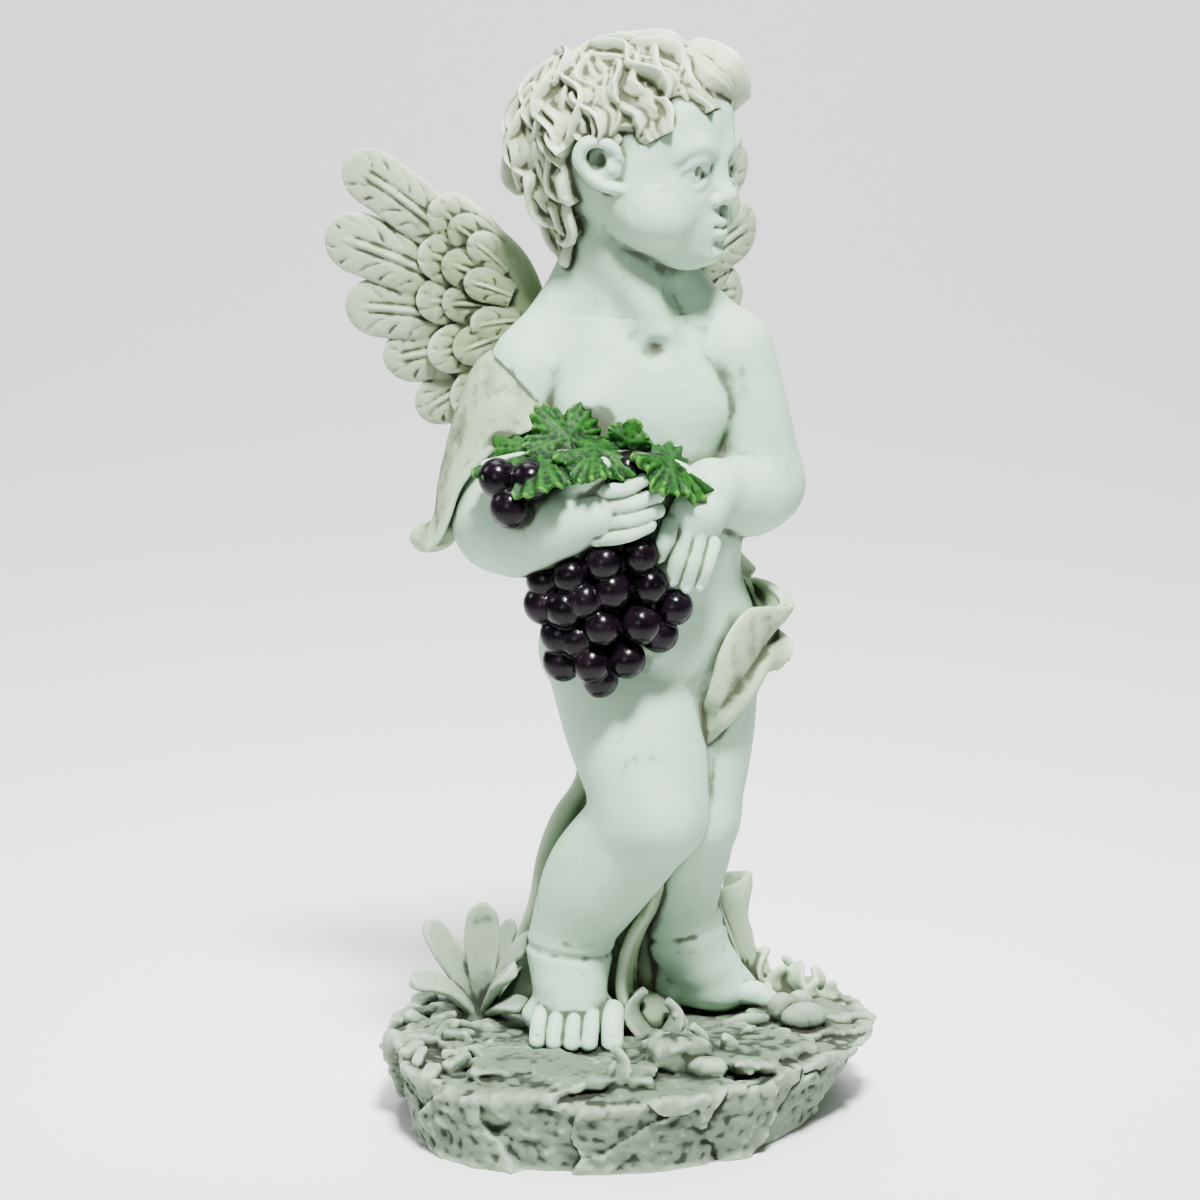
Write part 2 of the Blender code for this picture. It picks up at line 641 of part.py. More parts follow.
def hair(c):
    """Locks carved from one mass: each spot is as high as the highest lock over it."""
    rng = np.random.default_rng(HAIR_SEED)
    around = np.linspace(-math.pi, math.pi, 440, endpoint=False)[None, :]
    share = np.linspace(0.01, 1.16, 230)[:, None]
    polar = share * np.radians(hair_edge(around))
    high = np.interp(share, [0.9, 1.0, 1.16], [9, -4, -12]) + 0 * around
    for row, (start, length, count) in enumerate(HAIR_ROWS):
        for k in range(count):
            bearing = 2 * math.pi * (k + 0.5 * (row % 2) + rng.uniform(-0.2, 0.2)) / count
            first = math.radians(float(hair_edge(bearing))) * (start + rng.uniform(-0.04, 0.04))
            long, hand = length * rng.uniform(0.88, 1.15), 1 if (k // 2 + row) % 2 else -1
            peak = rng.uniform(12, 25)
            up = lock_height(rng, polar, around, bearing, first, long, hand, peak)
            high = np.maximum(high, up)
    for bearing, first, long, peak in HAIR_ROLLS:
        hand = 1 if bearing % 4 else -1
        place = math.radians(bearing), math.radians(first)
        high = np.maximum(high, lock_height(rng, polar, around, *place, long, hand, peak))
    rings = [scalp(polar[i], around[0], high[i])[0] for i in range(len(polar))]
    c.add_shell(rings + [scalp(polar[-1], around[0], -16 + 0 * around[0])[0]], 1)
    nape(c, rng)


def lock_height(rng, polar, around, bearing, first, length, hand, peak):
    """Height of one wavy lock that starts at an angle from the crown and curls at its end."""
    t = (SCALP_REACH * (polar - first)) / length
    girth = SCALP_REACH * np.sin(np.clip(polar + 0.2, 0.3, 1.8))
    aside = ((around - bearing + math.pi) % (2 * math.pi) - math.pi) * girth
    phase = rng.uniform(-0.08, 0.08)
    wave = LOCK_SWING * np.sin(2 * math.pi * (t * length / LOCK_WAVE + phase))
    hook = 22 * np.clip((t - 0.62) / 0.38, 0, 1) ** 1.7
    half = LOCK_WIDTH / 2 * rng.uniform(0.9, 1.15) * np.interp(t, [0, 0.35, 0.75, 1], [0.6, 1, 0.9, 0.2])
    q = (aside * hand - wave - hook) / half
    inner, outer = np.clip((1 + q) / 0.5, 0, 1), np.clip((1 - q) / 0.22, 0, 1)
    body = (0.4 + 0.6 * np.clip((q + 1) / 1.7, 0, 1) ** 1.6) * np.sqrt(inner * outer)
    ends = np.clip(t / 0.3, 0, 1) * np.clip((1 - t) / 0.1, 0, 1) ** 0.7
    rise = peak * (0.55 + 0.45 * np.sin(math.pi * np.clip(t, 0, 1) ** 1.6)) * body
    height = (rise + lock_relief(t, q)) * ends + 6 * ends - 6
    return np.where((np.abs(q) < 1) & (t > 0) & (t < 1), height, -20)


def lock_relief(t, q):
    """The hollow along a lock and the rise to its sharp side. q runs from -1 to 1 across it."""
    return 2.5 * np.exp(-(((q - 0.66) / 0.16) ** 2)) - 3.5 * np.exp(-(((q - 0.15) / 0.34) ** 2))


def ribbon(c, rng, line, facing, hand, tilt, size):
    """A strip of hair with a crest along it and a narrow rolled end."""
    t = np.linspace(0, 1, len(line))
    swell = smooth_line(np.array([[0.5], [0.85], [1.0], [0.95], [0.68], [0.36]]), len(line))[:, 0]
    end = np.sqrt(np.clip(1 - np.clip((t - 0.93) / 0.07, 0, 1) ** 2, 0.05, 1))
    width = size * LOCK_WIDTH / 2 * rng.uniform(0.88, 1.12) * swell * end
    height = size * LOCK_THICKNESS / 2 * (0.6 + 0.4 * end)
    c.add_shell(blade(line, width, height, facing, 0.06, tilt, lock_relief, 0.85, 60), 1.2)


def nape(c, rng):
    """Locks that hang from the back of the head down the neck."""
    for k, around in enumerate(np.radians(np.linspace(116, 236, 6))):
        start, facing = scalp(np.array([1.75, 2.1]), np.array([around] * 2), np.array([2.0, 4.0]))
        t = np.linspace(0, 1, 26)[:, None]
        hand = 1 if k % 2 else -1
        flat = unit(facing[0] * (1, 1, 0))
        side = np.cross((0, 0, 1), flat) * hand
        drop = (46, 52, 46, 50, 44, 34)[k]
        line = start[0] + (start[1] - start[0]) * np.minimum(t * 1.6, 1) - (0, 0, drop) * t**1.3
        line = line + side * 9 * np.sin(5.2 * t) * t - flat * (14 * t) + flat * 12 * t**4
        ribbon(c, rng, line, flat, hand, hand * 30 * np.cos(6 * t[:, 0]), 0.85)


# Wings


def feather(c, place, start, tip, half, depth, lift, thick):
    """A feather in the plane of the wing. depth is how far it lies in front of that plane."""
    t = 1 - (1 - np.linspace(0, 1, 44)) ** 1.5
    start, tip = np.array(start, float), np.array(tip, float)
    length = np.linalg.norm(tip - start)
    cross = np.array([start[1] - tip[1], tip[0] - start[0]]) / length
    spots = np.outer(1 - t, start) + np.outer(t, tip)
    spots = spots + np.outer(np.sin(math.pi * t) * 0.03 * length, cross)
    line = np.array([place(a, b, depth + lift * q * q) for (a, b), q in zip(spots, t)])
    facing = place(0, 0, 1) - place(0, 0, 0)
    last = min(1.25 * half / length, 0.8)
    round_end = np.sqrt(np.clip(1 - np.clip((t - 1 + last) / last, 0, 1) ** 2.2, 0.02, 1))
    width = half * (0.72 + 0.28 * np.clip(t / 0.5, 0, 1)) * round_end
    height = thick / 2 * np.sqrt(round_end)
    relief = feather_relief(t, length, half)
    c.add_shell(blade(line, width, height, facing, -0.05, 0, relief, 0.55, 60), 0.8)


def feather_relief(along, length, half):
    def relief(t, x):
        return 1.6 * np.exp(-((x / 0.14) ** 2)) * np.clip(1.15 - along[:, None], 0, 1)

    return relief


def wing(c, root, yaw):
    """The wing plane runs from the root outwards (a), up (b) and towards its front face (n)."""
    out = np.array([math.cos(yaw), math.sin(yaw), 0])
    front = np.array([math.sin(yaw), -math.cos(yaw), 0])
    if front[1] > 0:
        front = -front

    def place(a, b, n):
        return np.asarray(root, float) + out * a + np.array([0, 0, b]) + front * (n - 0.0004 * a * a)

    bone = [(-10, -14, 17), (2, 34, 17), (18, 72, 15), (46, 102, 13), (78, 122, 10), (106, 132, 6)]
    c.add(limb([(*place(a, b, 0), r) for a, b, r in bone]))
    ax = np.stack([out, front, (0, 0, 1)], 1)
    c.add(egg(place(34, 24, 0), (40, 11, 66), ax), 14)
    c.add(egg(place(40, -24, 0), (34, 10, 56), ax), 14)
    tips = ((182, 170), (203, 98), (184, 26), (146, -28), (112, -80), (74, -108))
    roots = ((52, 74), (62, 44), (56, 14), (40, -10), (28, -34), (14, -52))
    for k in range(6):
        half = (28, 31, 30, 28, 25, 21)[k]
        feather(c, place, roots[k], tips[k], half, 4 - 2 * k, -6, FEATHER_THICKNESS + 1)
    for face in (1, -1):
        for row, (count, reach, half) in enumerate(COVERT_ROWS):
            for k in range(count):
                q = k / (count - 1)
                fan = math.radians(np.interp(q, [0, 0.4, 1], [40, 4, -62 - 6 * row]))
                hub = np.array([np.interp(q, [0, 0.35, 1], [20, 14, -12]), 66 - 96 * q])
                way = np.array([math.cos(fan), math.sin(fan)])
                depth = face * (5 + 4 * row + 2.5 * (k % 2))
                feather(c, place, hub, hub + way * reach, half, depth, face * 4, FEATHER_THICKNESS - 2)


# Grapes and vine leaves

GRAPE_SPOTS = (
    (-84, -95, 480), (-60, -110, 487), (-28, -118, 501), (6, -112, 507), (-86, -95, 456),
    (-65, -108, 455), (-21, -115, 474), (15, -108, 477), (39, -98, 454), (-30, -115, 438),
    (7, -110, 440), (-70, -98, 427), (-68, -92, 400), (-40, -108, 401), (-6, -104, 404),
    (-32, -98, 384), (-128, -128, 584), (-97, -132, 582), (-116, -136, 557), (-6, -114, 588),
    (16, -110, 572), (-54, -104, 424), (-46, -114, 464), (24, -92, 428),
)


def grapes(c):
    for k, spot in enumerate(GRAPE_SPOTS):
        size = GRAPE_RADIUS * (1 + 0.05 * math.sin(5.3 * k))
        c.add(egg(spot, (size, size, size * 1.04), turn(roll=40 * math.sin(k))))
    c.add(egg((-26, -74, 450), (48, 26, 56)), 2)


def ledge(c):
    """The stem and the lump of plaster between the arm and the leaves."""
    c.add(limb([(-22, -92, 500, 18), (-6, -98, 560, 18), (-2, -100, 590, 14)]))
    stem = [(-138, -104, 590, 8), (-96, -108, 594, 13), (-50, -108, 594, 14), (0, -106, 592, 14)]
    c.add(limb(stem + [(40, -100, 584, 12), (72, -92, 566, 8)]), 6)


def vine_leaf(c, centre, tip, facing, size, droop, wave):
    """A leaf of five lobes with raised veins, which droops towards its rim."""
    centre = np.array(centre, float)
    fore = unit(np.array(tip, float) - centre)
    side = unit(np.cross(facing, fore))
    up = np.cross(fore, side)
    rad = np.linspace(0.02, 1, 14)[:, None]
    ang = np.linspace(-math.pi, math.pi, 100, endpoint=False)[None, :]
    lobe = np.abs(np.cos(ang * 2.4)) ** 0.6
    notch = 1 - 0.45 * np.clip((np.abs(ang) - 2.3) / 0.84, 0, 1)
    teeth = 1 + 0.06 * np.sin(24 * ang)
    rim = size * (0.62 + 0.38 * lobe) * notch * teeth
    x, y = rad * rim * np.cos(ang), rad * rim * np.sin(ang)
    vein = 2.0 * np.clip(1 - np.abs(np.sin(ang * 2.4)) * rad * size / 7, 0, 1)
    ruffle = 0.3 * wave * np.sin(24 * ang + 1) * rad**3 + wave * np.sin(5 * ang + 0.6) * rad**2
    h = vein + ruffle - droop * rad**2
    net = centre + x[..., None] * fore + y[..., None] * side + h[..., None] * up
    under = net - up * VINE_LEAF_THICKNESS * np.sqrt(np.clip(1 - rad**6, 0.2, 1))[..., None]
    c.add_shell(np.concatenate([net, under[::-1]]), 1)


def vine(c):
    vine_leaf(c, (-88, -112, 606), (-152, -124, 594), (0.06, -0.30, 1), 66, 9, 6)
    vine_leaf(c, (-62, -100, 618), (-90, -84, 648), (0.1, -0.85, 1), 44, 6, 4)
    vine_leaf(c, (-36, -116, 610), (4, -130, 600), (0.1, -0.4, 1), 46, 8, 5)
    vine_leaf(c, (-6, -108, 616), (2, -112, 640), (0.1, -1.4, 1), 22, 3, 2)
    vine_leaf(c, (34, -108, 598), (80, -104, 568), (0.55, -0.30, 1), 50, 9, 6)


# Drapery


def drapery(c):
    hip_cloth(c)
    sleeve(c)
    back_cloth(c)
    ground_cloth(c)


def hip_cloth(c):
    """The cloth round the loins, which opens at the left hip like two petals."""
    rim = [(68, -30, 337), (72, -48, 363), (85, -54, 413), (107, -40, 442), (137, -10, 441)]
    rim += [(157, 18, 438), (138, 42, 450), (116, 46, 456)]
    middle = [(74, -32, 331), (84, -50, 355), (102, -50, 396), (122, -30, 418), (141, -4, 419)]
    middle += [(149, 22, 420), (136, 48, 436), (118, 52, 446)]
    root = [(72, -26, 325), (88, -36, 345), (108, -32, 376), (124, -12, 394), (132, 12, 402)]
    root += [(134, 34, 408), (126, 50, 422), (116, 54, 436)]
    upper = [rim, middle, root]
    root = [(70, -26, 338), (82, -36, 352), (100, -32, 380), (116, -14, 394), (124, 8, 400)]
    root += [(126, 30, 406), (120, 48, 420)]
    middle = [(74, -34, 322), (92, -46, 336), (116, -42, 364), (134, -20, 388), (146, 4, 390)]
    middle += [(148, 24, 398), (132, 46, 412)]
    rim = [(72, -22, 309), (88, -34, 322), (110, -36, 348), (130, -20, 374), (149, 0, 374)]
    rim += [(160, 14, 384), (142, 40, 400)]
    lower = [root, middle, rim]

    def creases(u, v):
        return 5 * np.sin(math.pi * v) * (0.4 * np.sin(9 * v + 6 * u) * u - np.sin(math.pi * u))

    for petal in (upper, lower):
        c.add_shell(cloth(petal, CLOTH_THICKNESS, across=36, along=60, fold=creases), 4)
    # Gathered cloth over the thigh, and round the back of the hips
    c.add(limb([(62, -30, 306, 12), (86, -14, 352, 22), (108, 10, 386, 24), (104, 50, 410, 26)]), 10)

    def folds(u, v):
        return 6 * np.sin(11 * v + 4 * u + 2 * np.sin(5 * v)) * np.clip(4 * u, 0, 1)

    wrap = [
        [(112, 30, 448), (84, 96, 470), (20, 112, 470), (-50, 82, 452), (-84, 20, 430)],
        [(120, 34, 410), (94, 114, 420), (20, 132, 410), (-66, 96, 398), (-90, 20, 396)],
        [(112, 36, 380), (92, 118, 364), (10, 136, 340), (-70, 92, 340), (-82, 26, 366)],
    ]
    c.add_shell(cloth(wrap, CLOTH_THICKNESS + 4, across=40, along=70, fold=folds), 8)


def sleeve(c):
    """Cloth over the right upper arm, which flares out at the elbow."""
    rows = []
    for z, x, y, front, reach in (
        (688, -90, 4, -100, 34),
        (676, -96, 0, -100, 47),
        (656, -102, -6, -98, 54),
        (628, -110, -12, -88, 56),
        (600, -118, -16, -72, 56),
        (566, -126, -24, -48, 56),
        (534, -128, -28, -34, 58),
        (512, -127, -26, -26, 68),
        (498, -126, -22, -20, 80),
    ):
        bearing = np.radians(np.linspace(front, 96, 6))
        flare = 1 if z > 520 else np.cos(bearing * 0.9) ** 0.5
        arch = 44 * np.clip((z - 590) / 80, 0, 1) * np.clip(-bearing / 1.7, 0, 1) ** 2.5
        away = x - np.cos(bearing) * reach * flare
        rows.append(np.stack([away, y + np.sin(bearing) * reach * flare, z - arch], -1))
    c.add_shell(cloth(rows, CLOTH_THICKNESS, across=40, along=40), 4)
    c.add(limb([(-172, -4, 522, 13), (-190, -2, 506, 15), (-202, 2, 503, 15)]), 8)
    sash = [(-112, 40, 652), (-70, 76, 606), (-4, 94, 540), (58, 96, 484), (104, 62, 440)]
    line = smooth_line(sash, 30)

    def folds(t, x):
        return 4 * np.cos(9.4 * x + 2 * t) - 3

    c.add_shell(blade(line, 30.0, CLOTH_THICKNESS, line - (10, 10, 560), relief=folds), 5)


def back_cloth(c):
    """Cloth that hangs behind the legs from the hips to the base."""

    def folds(u, v):
        return (3 + 6 * u) * np.sin(19 * v + 2 * u)

    rows = []
    for z, left, right, mid in (
        (372, -58, 84, 104), (300, -56, 84, 98), (252, -58, 78, 92), (214, -82, 72, 92),
        (170, -98, 78, 98), (116, -108, 92, 108), (60, -128, 112, 124), (0, -150, 126, 136),
        (-14, -150, 126, 138),
    ):
        t = np.linspace(0, 1, 6)
        x = left + (right - left) * t
        y = mid - 34 * np.abs(1 - 2 * t) ** 1.6
        rows.append(np.stack([x, y, z + 0 * t], -1))
    c.add_shell(cloth(rows, CLOTH_THICKNESS + 2, across=40, along=40, fold=folds), 4)
    # Filling between the legs and the cloth, and the pointed tail between the ankles
    filling = [(10, 62, 350, 44), (6, 62, 250, 36), (4, 78, 150, 34), (6, 92, 60, 36)]
    c.add(limb(filling + [(6, 96, -8, 40)]), 6)
    tail = [(27, -4, 172), (23, 2, 148), (12, 6, 122), (-1, 8, 98), (-10, 8, 70)]
    tail += [(-12, 4, 42), (-6, -2, 16), (0, -4, -8)]
    shift = ((0, 0), (2, 9), (8, 26), (12, 50))
    c.add_shell(cloth([[(x + a, y + b, z) for x, y, z in tail] for a, b in shift], CLOTH_THICKNESS), 3)
    c.add(egg((10, 30, 10), (30, 26, 26)), 10)
    column = [
        [(84, 84, 128), (84, 84, 90), (88, 84, 50), (92, 84, -8)],
        [(100, 100, 126), (100, 100, 90), (106, 104, 50), (112, 108, -8)],
        [(120, 112, 138), (112, 112, 96), (118, 116, 66), (130, 122, -8)],
        [(96, 134, 132), (92, 132, 96), (92, 134, 50), (96, 138, -8)],
    ]
    c.add_shell(cloth(column, CLOTH_THICKNESS + 2), 4)


def ground_cloth(c):
    """Curled leaves on the base behind the left foot, smaller towards the right."""
    for x, y, size, yaw in (
        (104, 130, 66, 165), (124, 110, 46, 115), (143, 128, 50, 205), (158, 104, 38, 140),
        (176, 118, 40, 230), (192, 98, 28, 165), (120, 150, 44, 60), (154, 150, 36, 20),
        (184, 138, 30, 320), (206, 112, 22, 100), (140, 98, 26, 250),
    ):
        curl(c, x, y, size, yaw)
    c.add(limb([(92, 126, 12, 24), (140, 128, 4, 20), (190, 112, -6, 16)]), 6)


# Base and what grows on it


def base_radius(angle, shares):
    """Radius of the base in each direction (radians), from a table of shares."""
    bearings, sizes = zip(*shares)
    return BASE_REACH * np.interp(np.degrees(angle), bearings, sizes, period=360)


def cells(u, v, count, size, seed, turn_length=0.0):
    """Splits a plane into uneven stones with sloping faces: how high each spot's face is there
    (about 0 to 1) and how far the spot is from the crack beside it. With turn_length, u runs
    round a ring of that length."""
    rng = np.random.default_rng(seed)
    near, second, height = 1e6, 1e6, 0.0
    for _ in range(count):
        a, b, h = rng.uniform(-size[0], size[0]), rng.uniform(-size[1], size[1]), rng.uniform(0, 1)
        lean = rng.uniform(-0.6, 0.6, 2) / 50
        du, dv = u - a, v - b
        if turn_length:
            du = du - turn_length * np.round(du / turn_length)
        d = np.sqrt(du * du + 2.2 * dv * dv)
        closer = d < near
        second = np.where(closer, near, np.minimum(second, d))
        height = np.where(closer, h + lean[0] * du + lean[1] * dv, height)
        near = np.where(closer, d, near)
    return height, second - near


def base(c):
    round_length = 2 * math.pi * BASE_REACH

    def distance(x, y, z):
        angle = np.arctan2(y, x)
        down = np.clip(z / FLOOR, 0, 1.3)
        rim = base_radius(angle, RIM) * (1 - down) + base_radius(angle, FOOT) * down
        wobble = 16 * grain(x, y, z, 34, 7) + 6 * grain(x, y, z, 15, 10)
        open_joint = np.clip(2 * grain(x, y, z, 44, 11), 0, 1)
        strata = np.abs((z + 0.6 * wobble) / 17 % 1 - 0.5)
        across = angle * BASE_REACH + wobble
        block_height, crack = cells(across, z + wobble, 40, (round_length / 2, 60), 8, round_length)
        side = (np.sqrt(x * x + y * y) - rim + 5) * 0.9 - 9 * block_height + 3 * strata
        side = side + 6 * open_joint * np.exp(-((crack / 4) ** 2))
        level = wobble[..., :1]
        flag_height, joint = cells(x + level, y + level, 34, (BASE_REACH, BASE_REACH), 9)
        top = z + 4 - 8 * flag_height + 2 * grain(x, y, 0 * z, 30, 5)
        top = top + 4 * open_joint[..., :1] * np.exp(-((joint / 4) ** 2))
        rough = ROCK_ROUGHNESS * (grain(x, y, z, 13, 4) + 0.5 * grain(x, y, z, 6, 6))
        return -soft_min(-side, -top, 7) + rough

    reach = 1.15 * BASE_REACH
    c.add(((-reach, -reach, FLOOR - 24), (reach, reach, 14), distance))
    slabs(c)
    rubble(c)
    for (x, y, z), radii in (
        ((151, 44, 13), (15, 14, 17)),
        ((170, 66, 12), (14, 13, 14)),
        ((172, 22, 11), (24, 18, 15)),
    ):
        c.add(egg((x * BASE_SPREAD, y * BASE_SPREAD, z), radii, turn(yaw=20)), 1)
    c.add(stone((46, -104, 12), (35, 22, 19), turn(yaw=14, roll=12), 3, 21, 2.6), 2)
    c.add(stone((72, -128, 4), (20, 13, 11), turn(yaw=-20), 2, 22, 2.6), 2)
    c.add(limb([(96, 12, 5, 7), (112, 22, 7, 7.5), (132, 32, 6, 6)]), 2)


def slabs(c):
    """Thin flat stones that lie on the top."""
    for x, y, z, a, b, h, yaw, seed in (
        (-104, -112, 3, 54, 28, 7, 24, 35), (-34, -146, 4, 50, 30, 6, 6, 36),
        (112, -66, 5, 52, 58, 8, -36, 37), (60, -60, 4, 44, 30, 6, 10, 38),
        (160, 84, 2, 50, 44, 8, 30, 40), (-60, 160, 2, 60, 34, 8, 10, 41),
    ):
        spot = (x * BASE_SPREAD, y * BASE_SPREAD, z)
        c.add(stone(spot, (a, b, h), turn(yaw=yaw), 0.8 * ROCK_ROUGHNESS, seed), 2)


def rubble(c):
    """Broken bark and grit at the left, and a few shell-shaped curls."""
    rng = np.random.default_rng(5)
    for k in range(40):
        bearing, far = math.radians(rng.uniform(150, 215)), rng.uniform(0.62, 0.96)
        rim = float(base_radius(bearing, RIM))
        spot = (rim * far * math.cos(bearing), rim * far * math.sin(bearing), rng.uniform(-2, 7))
        size = (rng.uniform(10, 22), rng.uniform(5, 9), rng.uniform(4, 8))
        c.add(stone(spot, size, turn(rng.uniform(0, 180), 0, rng.uniform(-30, 30)), 1.5, 50 + k), 1.5)
    for x, y, size, yaw in (
        (-22, -162, 36, 10), (-8, -160, 26, 150), (16, -2, 44, 170), (32, 0, 34, 20),
        (56, -70, 30, 30), (88, -98, 28, 60), (42, -6, 24, 60), (118, -40, 20, 140),
    ):
        curl(c, x, y, size, yaw)


def curl(c, x, y, size, yaw):
    """A small leaf that curls up from the ground."""
    ax = turn(yaw=yaw)
    t = np.linspace(0, 1, 12)
    lean = np.stack([size * 0.5 * np.sin(2.6 * t) - size * 0.2, 0 * t, size * 1.15 * t - 4], -1)
    line = np.array([x, y, 0.0]) + lean @ ax.T
    width = size * 0.42 * np.sin(math.pi * np.clip(0.15 + 0.8 * t, 0, 1)) ** 0.7
    c.add_shell(blade(line, width, PETAL_THICKNESS * 0.45, ax[:, 0], 0.5), 1.5)


def plants(c):
    """The rosette of fleshy leaves beside the right foot."""
    root = np.array([-152, 58, -6.0]) * (BASE_SPREAD, BASE_SPREAD, 1)
    for (x, y, z), half, bow in (
        ((-207, 66, 99), 16, 6), ((-150, 70, 117), 19, 4), ((-121, 96, 92), 12, 2),
        ((-88, 22, 95), 13, 22), ((-118, 12, 60), 17, 12), ((-222, 22, 46), 15, 16),
        ((-106, 2, 26), 14, 10), ((-190, 118, 64), 16, 8), ((-112, 126, 56), 16, 8),
    ):
        tip = np.array([x * BASE_SPREAD, y * BASE_SPREAD, z])
        t = np.linspace(0, 1, 24)[:, None]
        line = root + (tip - root) * t + np.array([0, 0, bow]) * np.sin(math.pi * t)
        way = unit(tip - root)
        facing = unit(np.cross(way, np.cross((0, 0, 1), way)) + np.array([0, -0.5, 0]))
        t = t[:, 0]
        end = np.sqrt(np.clip(1 - np.clip((t - 0.84) / 0.16, 0, 1) ** 2, 0.03, 1))
        width = half * np.interp(t, [0, 0.3, 0.65, 1], [0.3, 0.62, 1, 0.8]) * end
        c.add_shell(blade(line, width, PETAL_THICKNESS * (0.45 + 0.15 * end), facing, 0.16, flat=0.8), 1)
    c.add(egg(root, (20, 18, 14)), 5)


# The whole figurine


def whole(voxel):
    wide = 1.2 * BASE_REACH + 20
    c = Clay((-max(330, wide), -wide, FLOOR - 40), (wide, max(300, wide), 1030), voxel)
    c.merge(body(voxel))
    skull = Clay((-140, -140, 720), (150, 170, 1010), voxel)
    head(skull)
    c.merge(skull, 10)
    curls = Clay((-160, -150, 700), (170, 180, 1030), voxel)
    hair(curls)
    c.merge(curls, 2)
    for root, yaw in (((-100, 59, 692), 3.07), ((-8, 85, 690), 0.764)):
        pinion = Clay((-330, 0, 540), (230, 300, 900), voxel)
        wing(pinion, root, yaw)
        c.merge(pinion, 6)
    for group, blend in ((ledge, 6), (grapes, 1), (vine, 1), (drapery, 3), (plants, 2)):
        layer = Clay((-wide, -200, -40), (wide, 180, 700), voxel)
        group(layer)
        c.merge(layer, blend)
    ground = Clay((-wide, -wide, FLOOR - 40), (wide, wide, 60), voxel)
    base(ground)
    c.merge(ground, 4)
    return c


def mesh_from(name, points, quads):
    """Mesh in metres with the underside of the base at z = 0."""
    points = np.asarray(points, np.float32) * UNIT
    points[:, 2] += BASE_THICKNESS
    mesh = bpy.data.meshes.new(name)
    mesh.vertices.add(len(points))
    mesh.vertices.foreach_set("co", points.ravel())
    mesh.loops.add(quads.size)
    mesh.loops.foreach_set("vertex_index", quads[:, ::-1].ravel().astype(np.int32))
    mesh.polygons.add(len(quads))
    mesh.polygons.foreach_set("loop_start", np.arange(0, quads.size, 4, dtype=np.int32))
    mesh.update(calc_edges=True)
    mesh.validate()
    mesh.shade_smooth()
    return mesh


def stone_material():
    material = bpy.data.materials.new("Weathered resin stone")
    material.use_nodes = True
    shader = material.node_tree.nodes["Principled BSDF"]
    shader.inputs["Base Color"].default_value = (0.62, 0.68, 0.62, 1)
    shader.inputs["Roughness"].default_value = 0.8
    return material


def flat_cutter(collection):
    """A box under the base, whose top is the plane the figurine stands on."""
    size, deep = 4 * BASE_RADIUS, 0.1
    mesh = bpy.data.meshes.new("Underside cutter")
    corners = [(x * size, y * size, z * deep) for z in (-1, 0) for y in (-0.5, 0.5) for x in (-0.5, 0.5)]
    faces = [(0, 2, 3, 1), (4, 5, 7, 6), (0, 1, 5, 4), (2, 6, 7, 3), (0, 4, 6, 2), (1, 3, 7, 5)]
    mesh.from_pydata(corners, [], faces)
    cutter = bpy.data.objects.new("Underside cutter", mesh)
    cutter.hide_render = True
    cutter.display_type = "WIRE"
    collection.objects.link(cutter)
    return cutter


def main():
    for obj in list(bpy.data.objects):
        bpy.data.objects.remove(obj)
    scene = bpy.context.scene
    parts, cutters = (bpy.data.collections.new(name) for name in ("Angel figurine", "Cutters"))
    scene.collection.children.link(parts)
    scene.collection.children.link(cutters)
    cutters.hide_render = True
    mesh = mesh_from("angel_figurine", *whole(VOXEL).polygons(GAP))
    figurine = bpy.data.objects.new("angel_figurine", mesh)
    figurine.data.materials.append(stone_material())
    parts.objects.link(figurine)
    thin = figurine.modifiers.new("Fewer faces", "DECIMATE")
    thin.ratio = min(1, MOST_FACES / (2 * len(figurine.data.polygons)))
    flat = figurine.modifiers.new("Flat underside", "BOOLEAN")
    flat.operation = "DIFFERENCE"
    flat.solver = "EXACT"
    flat.object = flat_cutter(cutters)


if __name__ == "__main__":
    main()
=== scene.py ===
"""The look of the cast garden figurine: a winged child holding grapes, in weathered stone colours.

The form is sculpted in blocks of voxels that hold distances to the surface, one block for each
piece, and meshed finely. Positions are in thousandths of the figure's height, measured from the
top of the base. x is the viewer's right, y runs away from the viewer and z is up.
"""

import math

import bpy
import numpy as np
import openvdb
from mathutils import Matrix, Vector


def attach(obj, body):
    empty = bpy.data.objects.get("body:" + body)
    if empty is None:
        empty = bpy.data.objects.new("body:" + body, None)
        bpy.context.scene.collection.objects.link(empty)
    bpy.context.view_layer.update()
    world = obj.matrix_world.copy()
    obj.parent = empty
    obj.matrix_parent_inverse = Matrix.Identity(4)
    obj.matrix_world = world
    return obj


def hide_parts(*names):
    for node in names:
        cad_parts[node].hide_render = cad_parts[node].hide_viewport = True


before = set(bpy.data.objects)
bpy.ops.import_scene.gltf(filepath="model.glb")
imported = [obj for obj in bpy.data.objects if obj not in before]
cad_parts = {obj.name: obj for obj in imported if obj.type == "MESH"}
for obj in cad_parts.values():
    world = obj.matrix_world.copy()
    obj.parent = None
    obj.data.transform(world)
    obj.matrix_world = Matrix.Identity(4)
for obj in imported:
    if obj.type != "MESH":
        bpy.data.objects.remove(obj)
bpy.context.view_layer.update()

NODE = "angel_figurine"
COARSER = 1.0
# Edges of the voxels, in thousandths of the figure's height
BODY_VOXEL, HAIR_VOXEL, WING_VOXEL, CLOTH_VOXEL = 1.75, 1.35, 1.5, 1.6
FRUIT_VOXEL, BASE_VOXEL, PLANT_VOXEL, CREVICE_VOXEL = 1.3, 1.9, 1.5, 2.4
# How far the arms and legs are smoothed before the hands and feet are added
LIMB_SOFTENING = 4.8
# The body ends and the head begins at these heights, which overlap inside the neck
BODY_TOP, HEAD_BOTTOM = 792, 776
# A loose crumb of fewer quads than this is left out of a surface
SMALLEST_CRUMB = 60
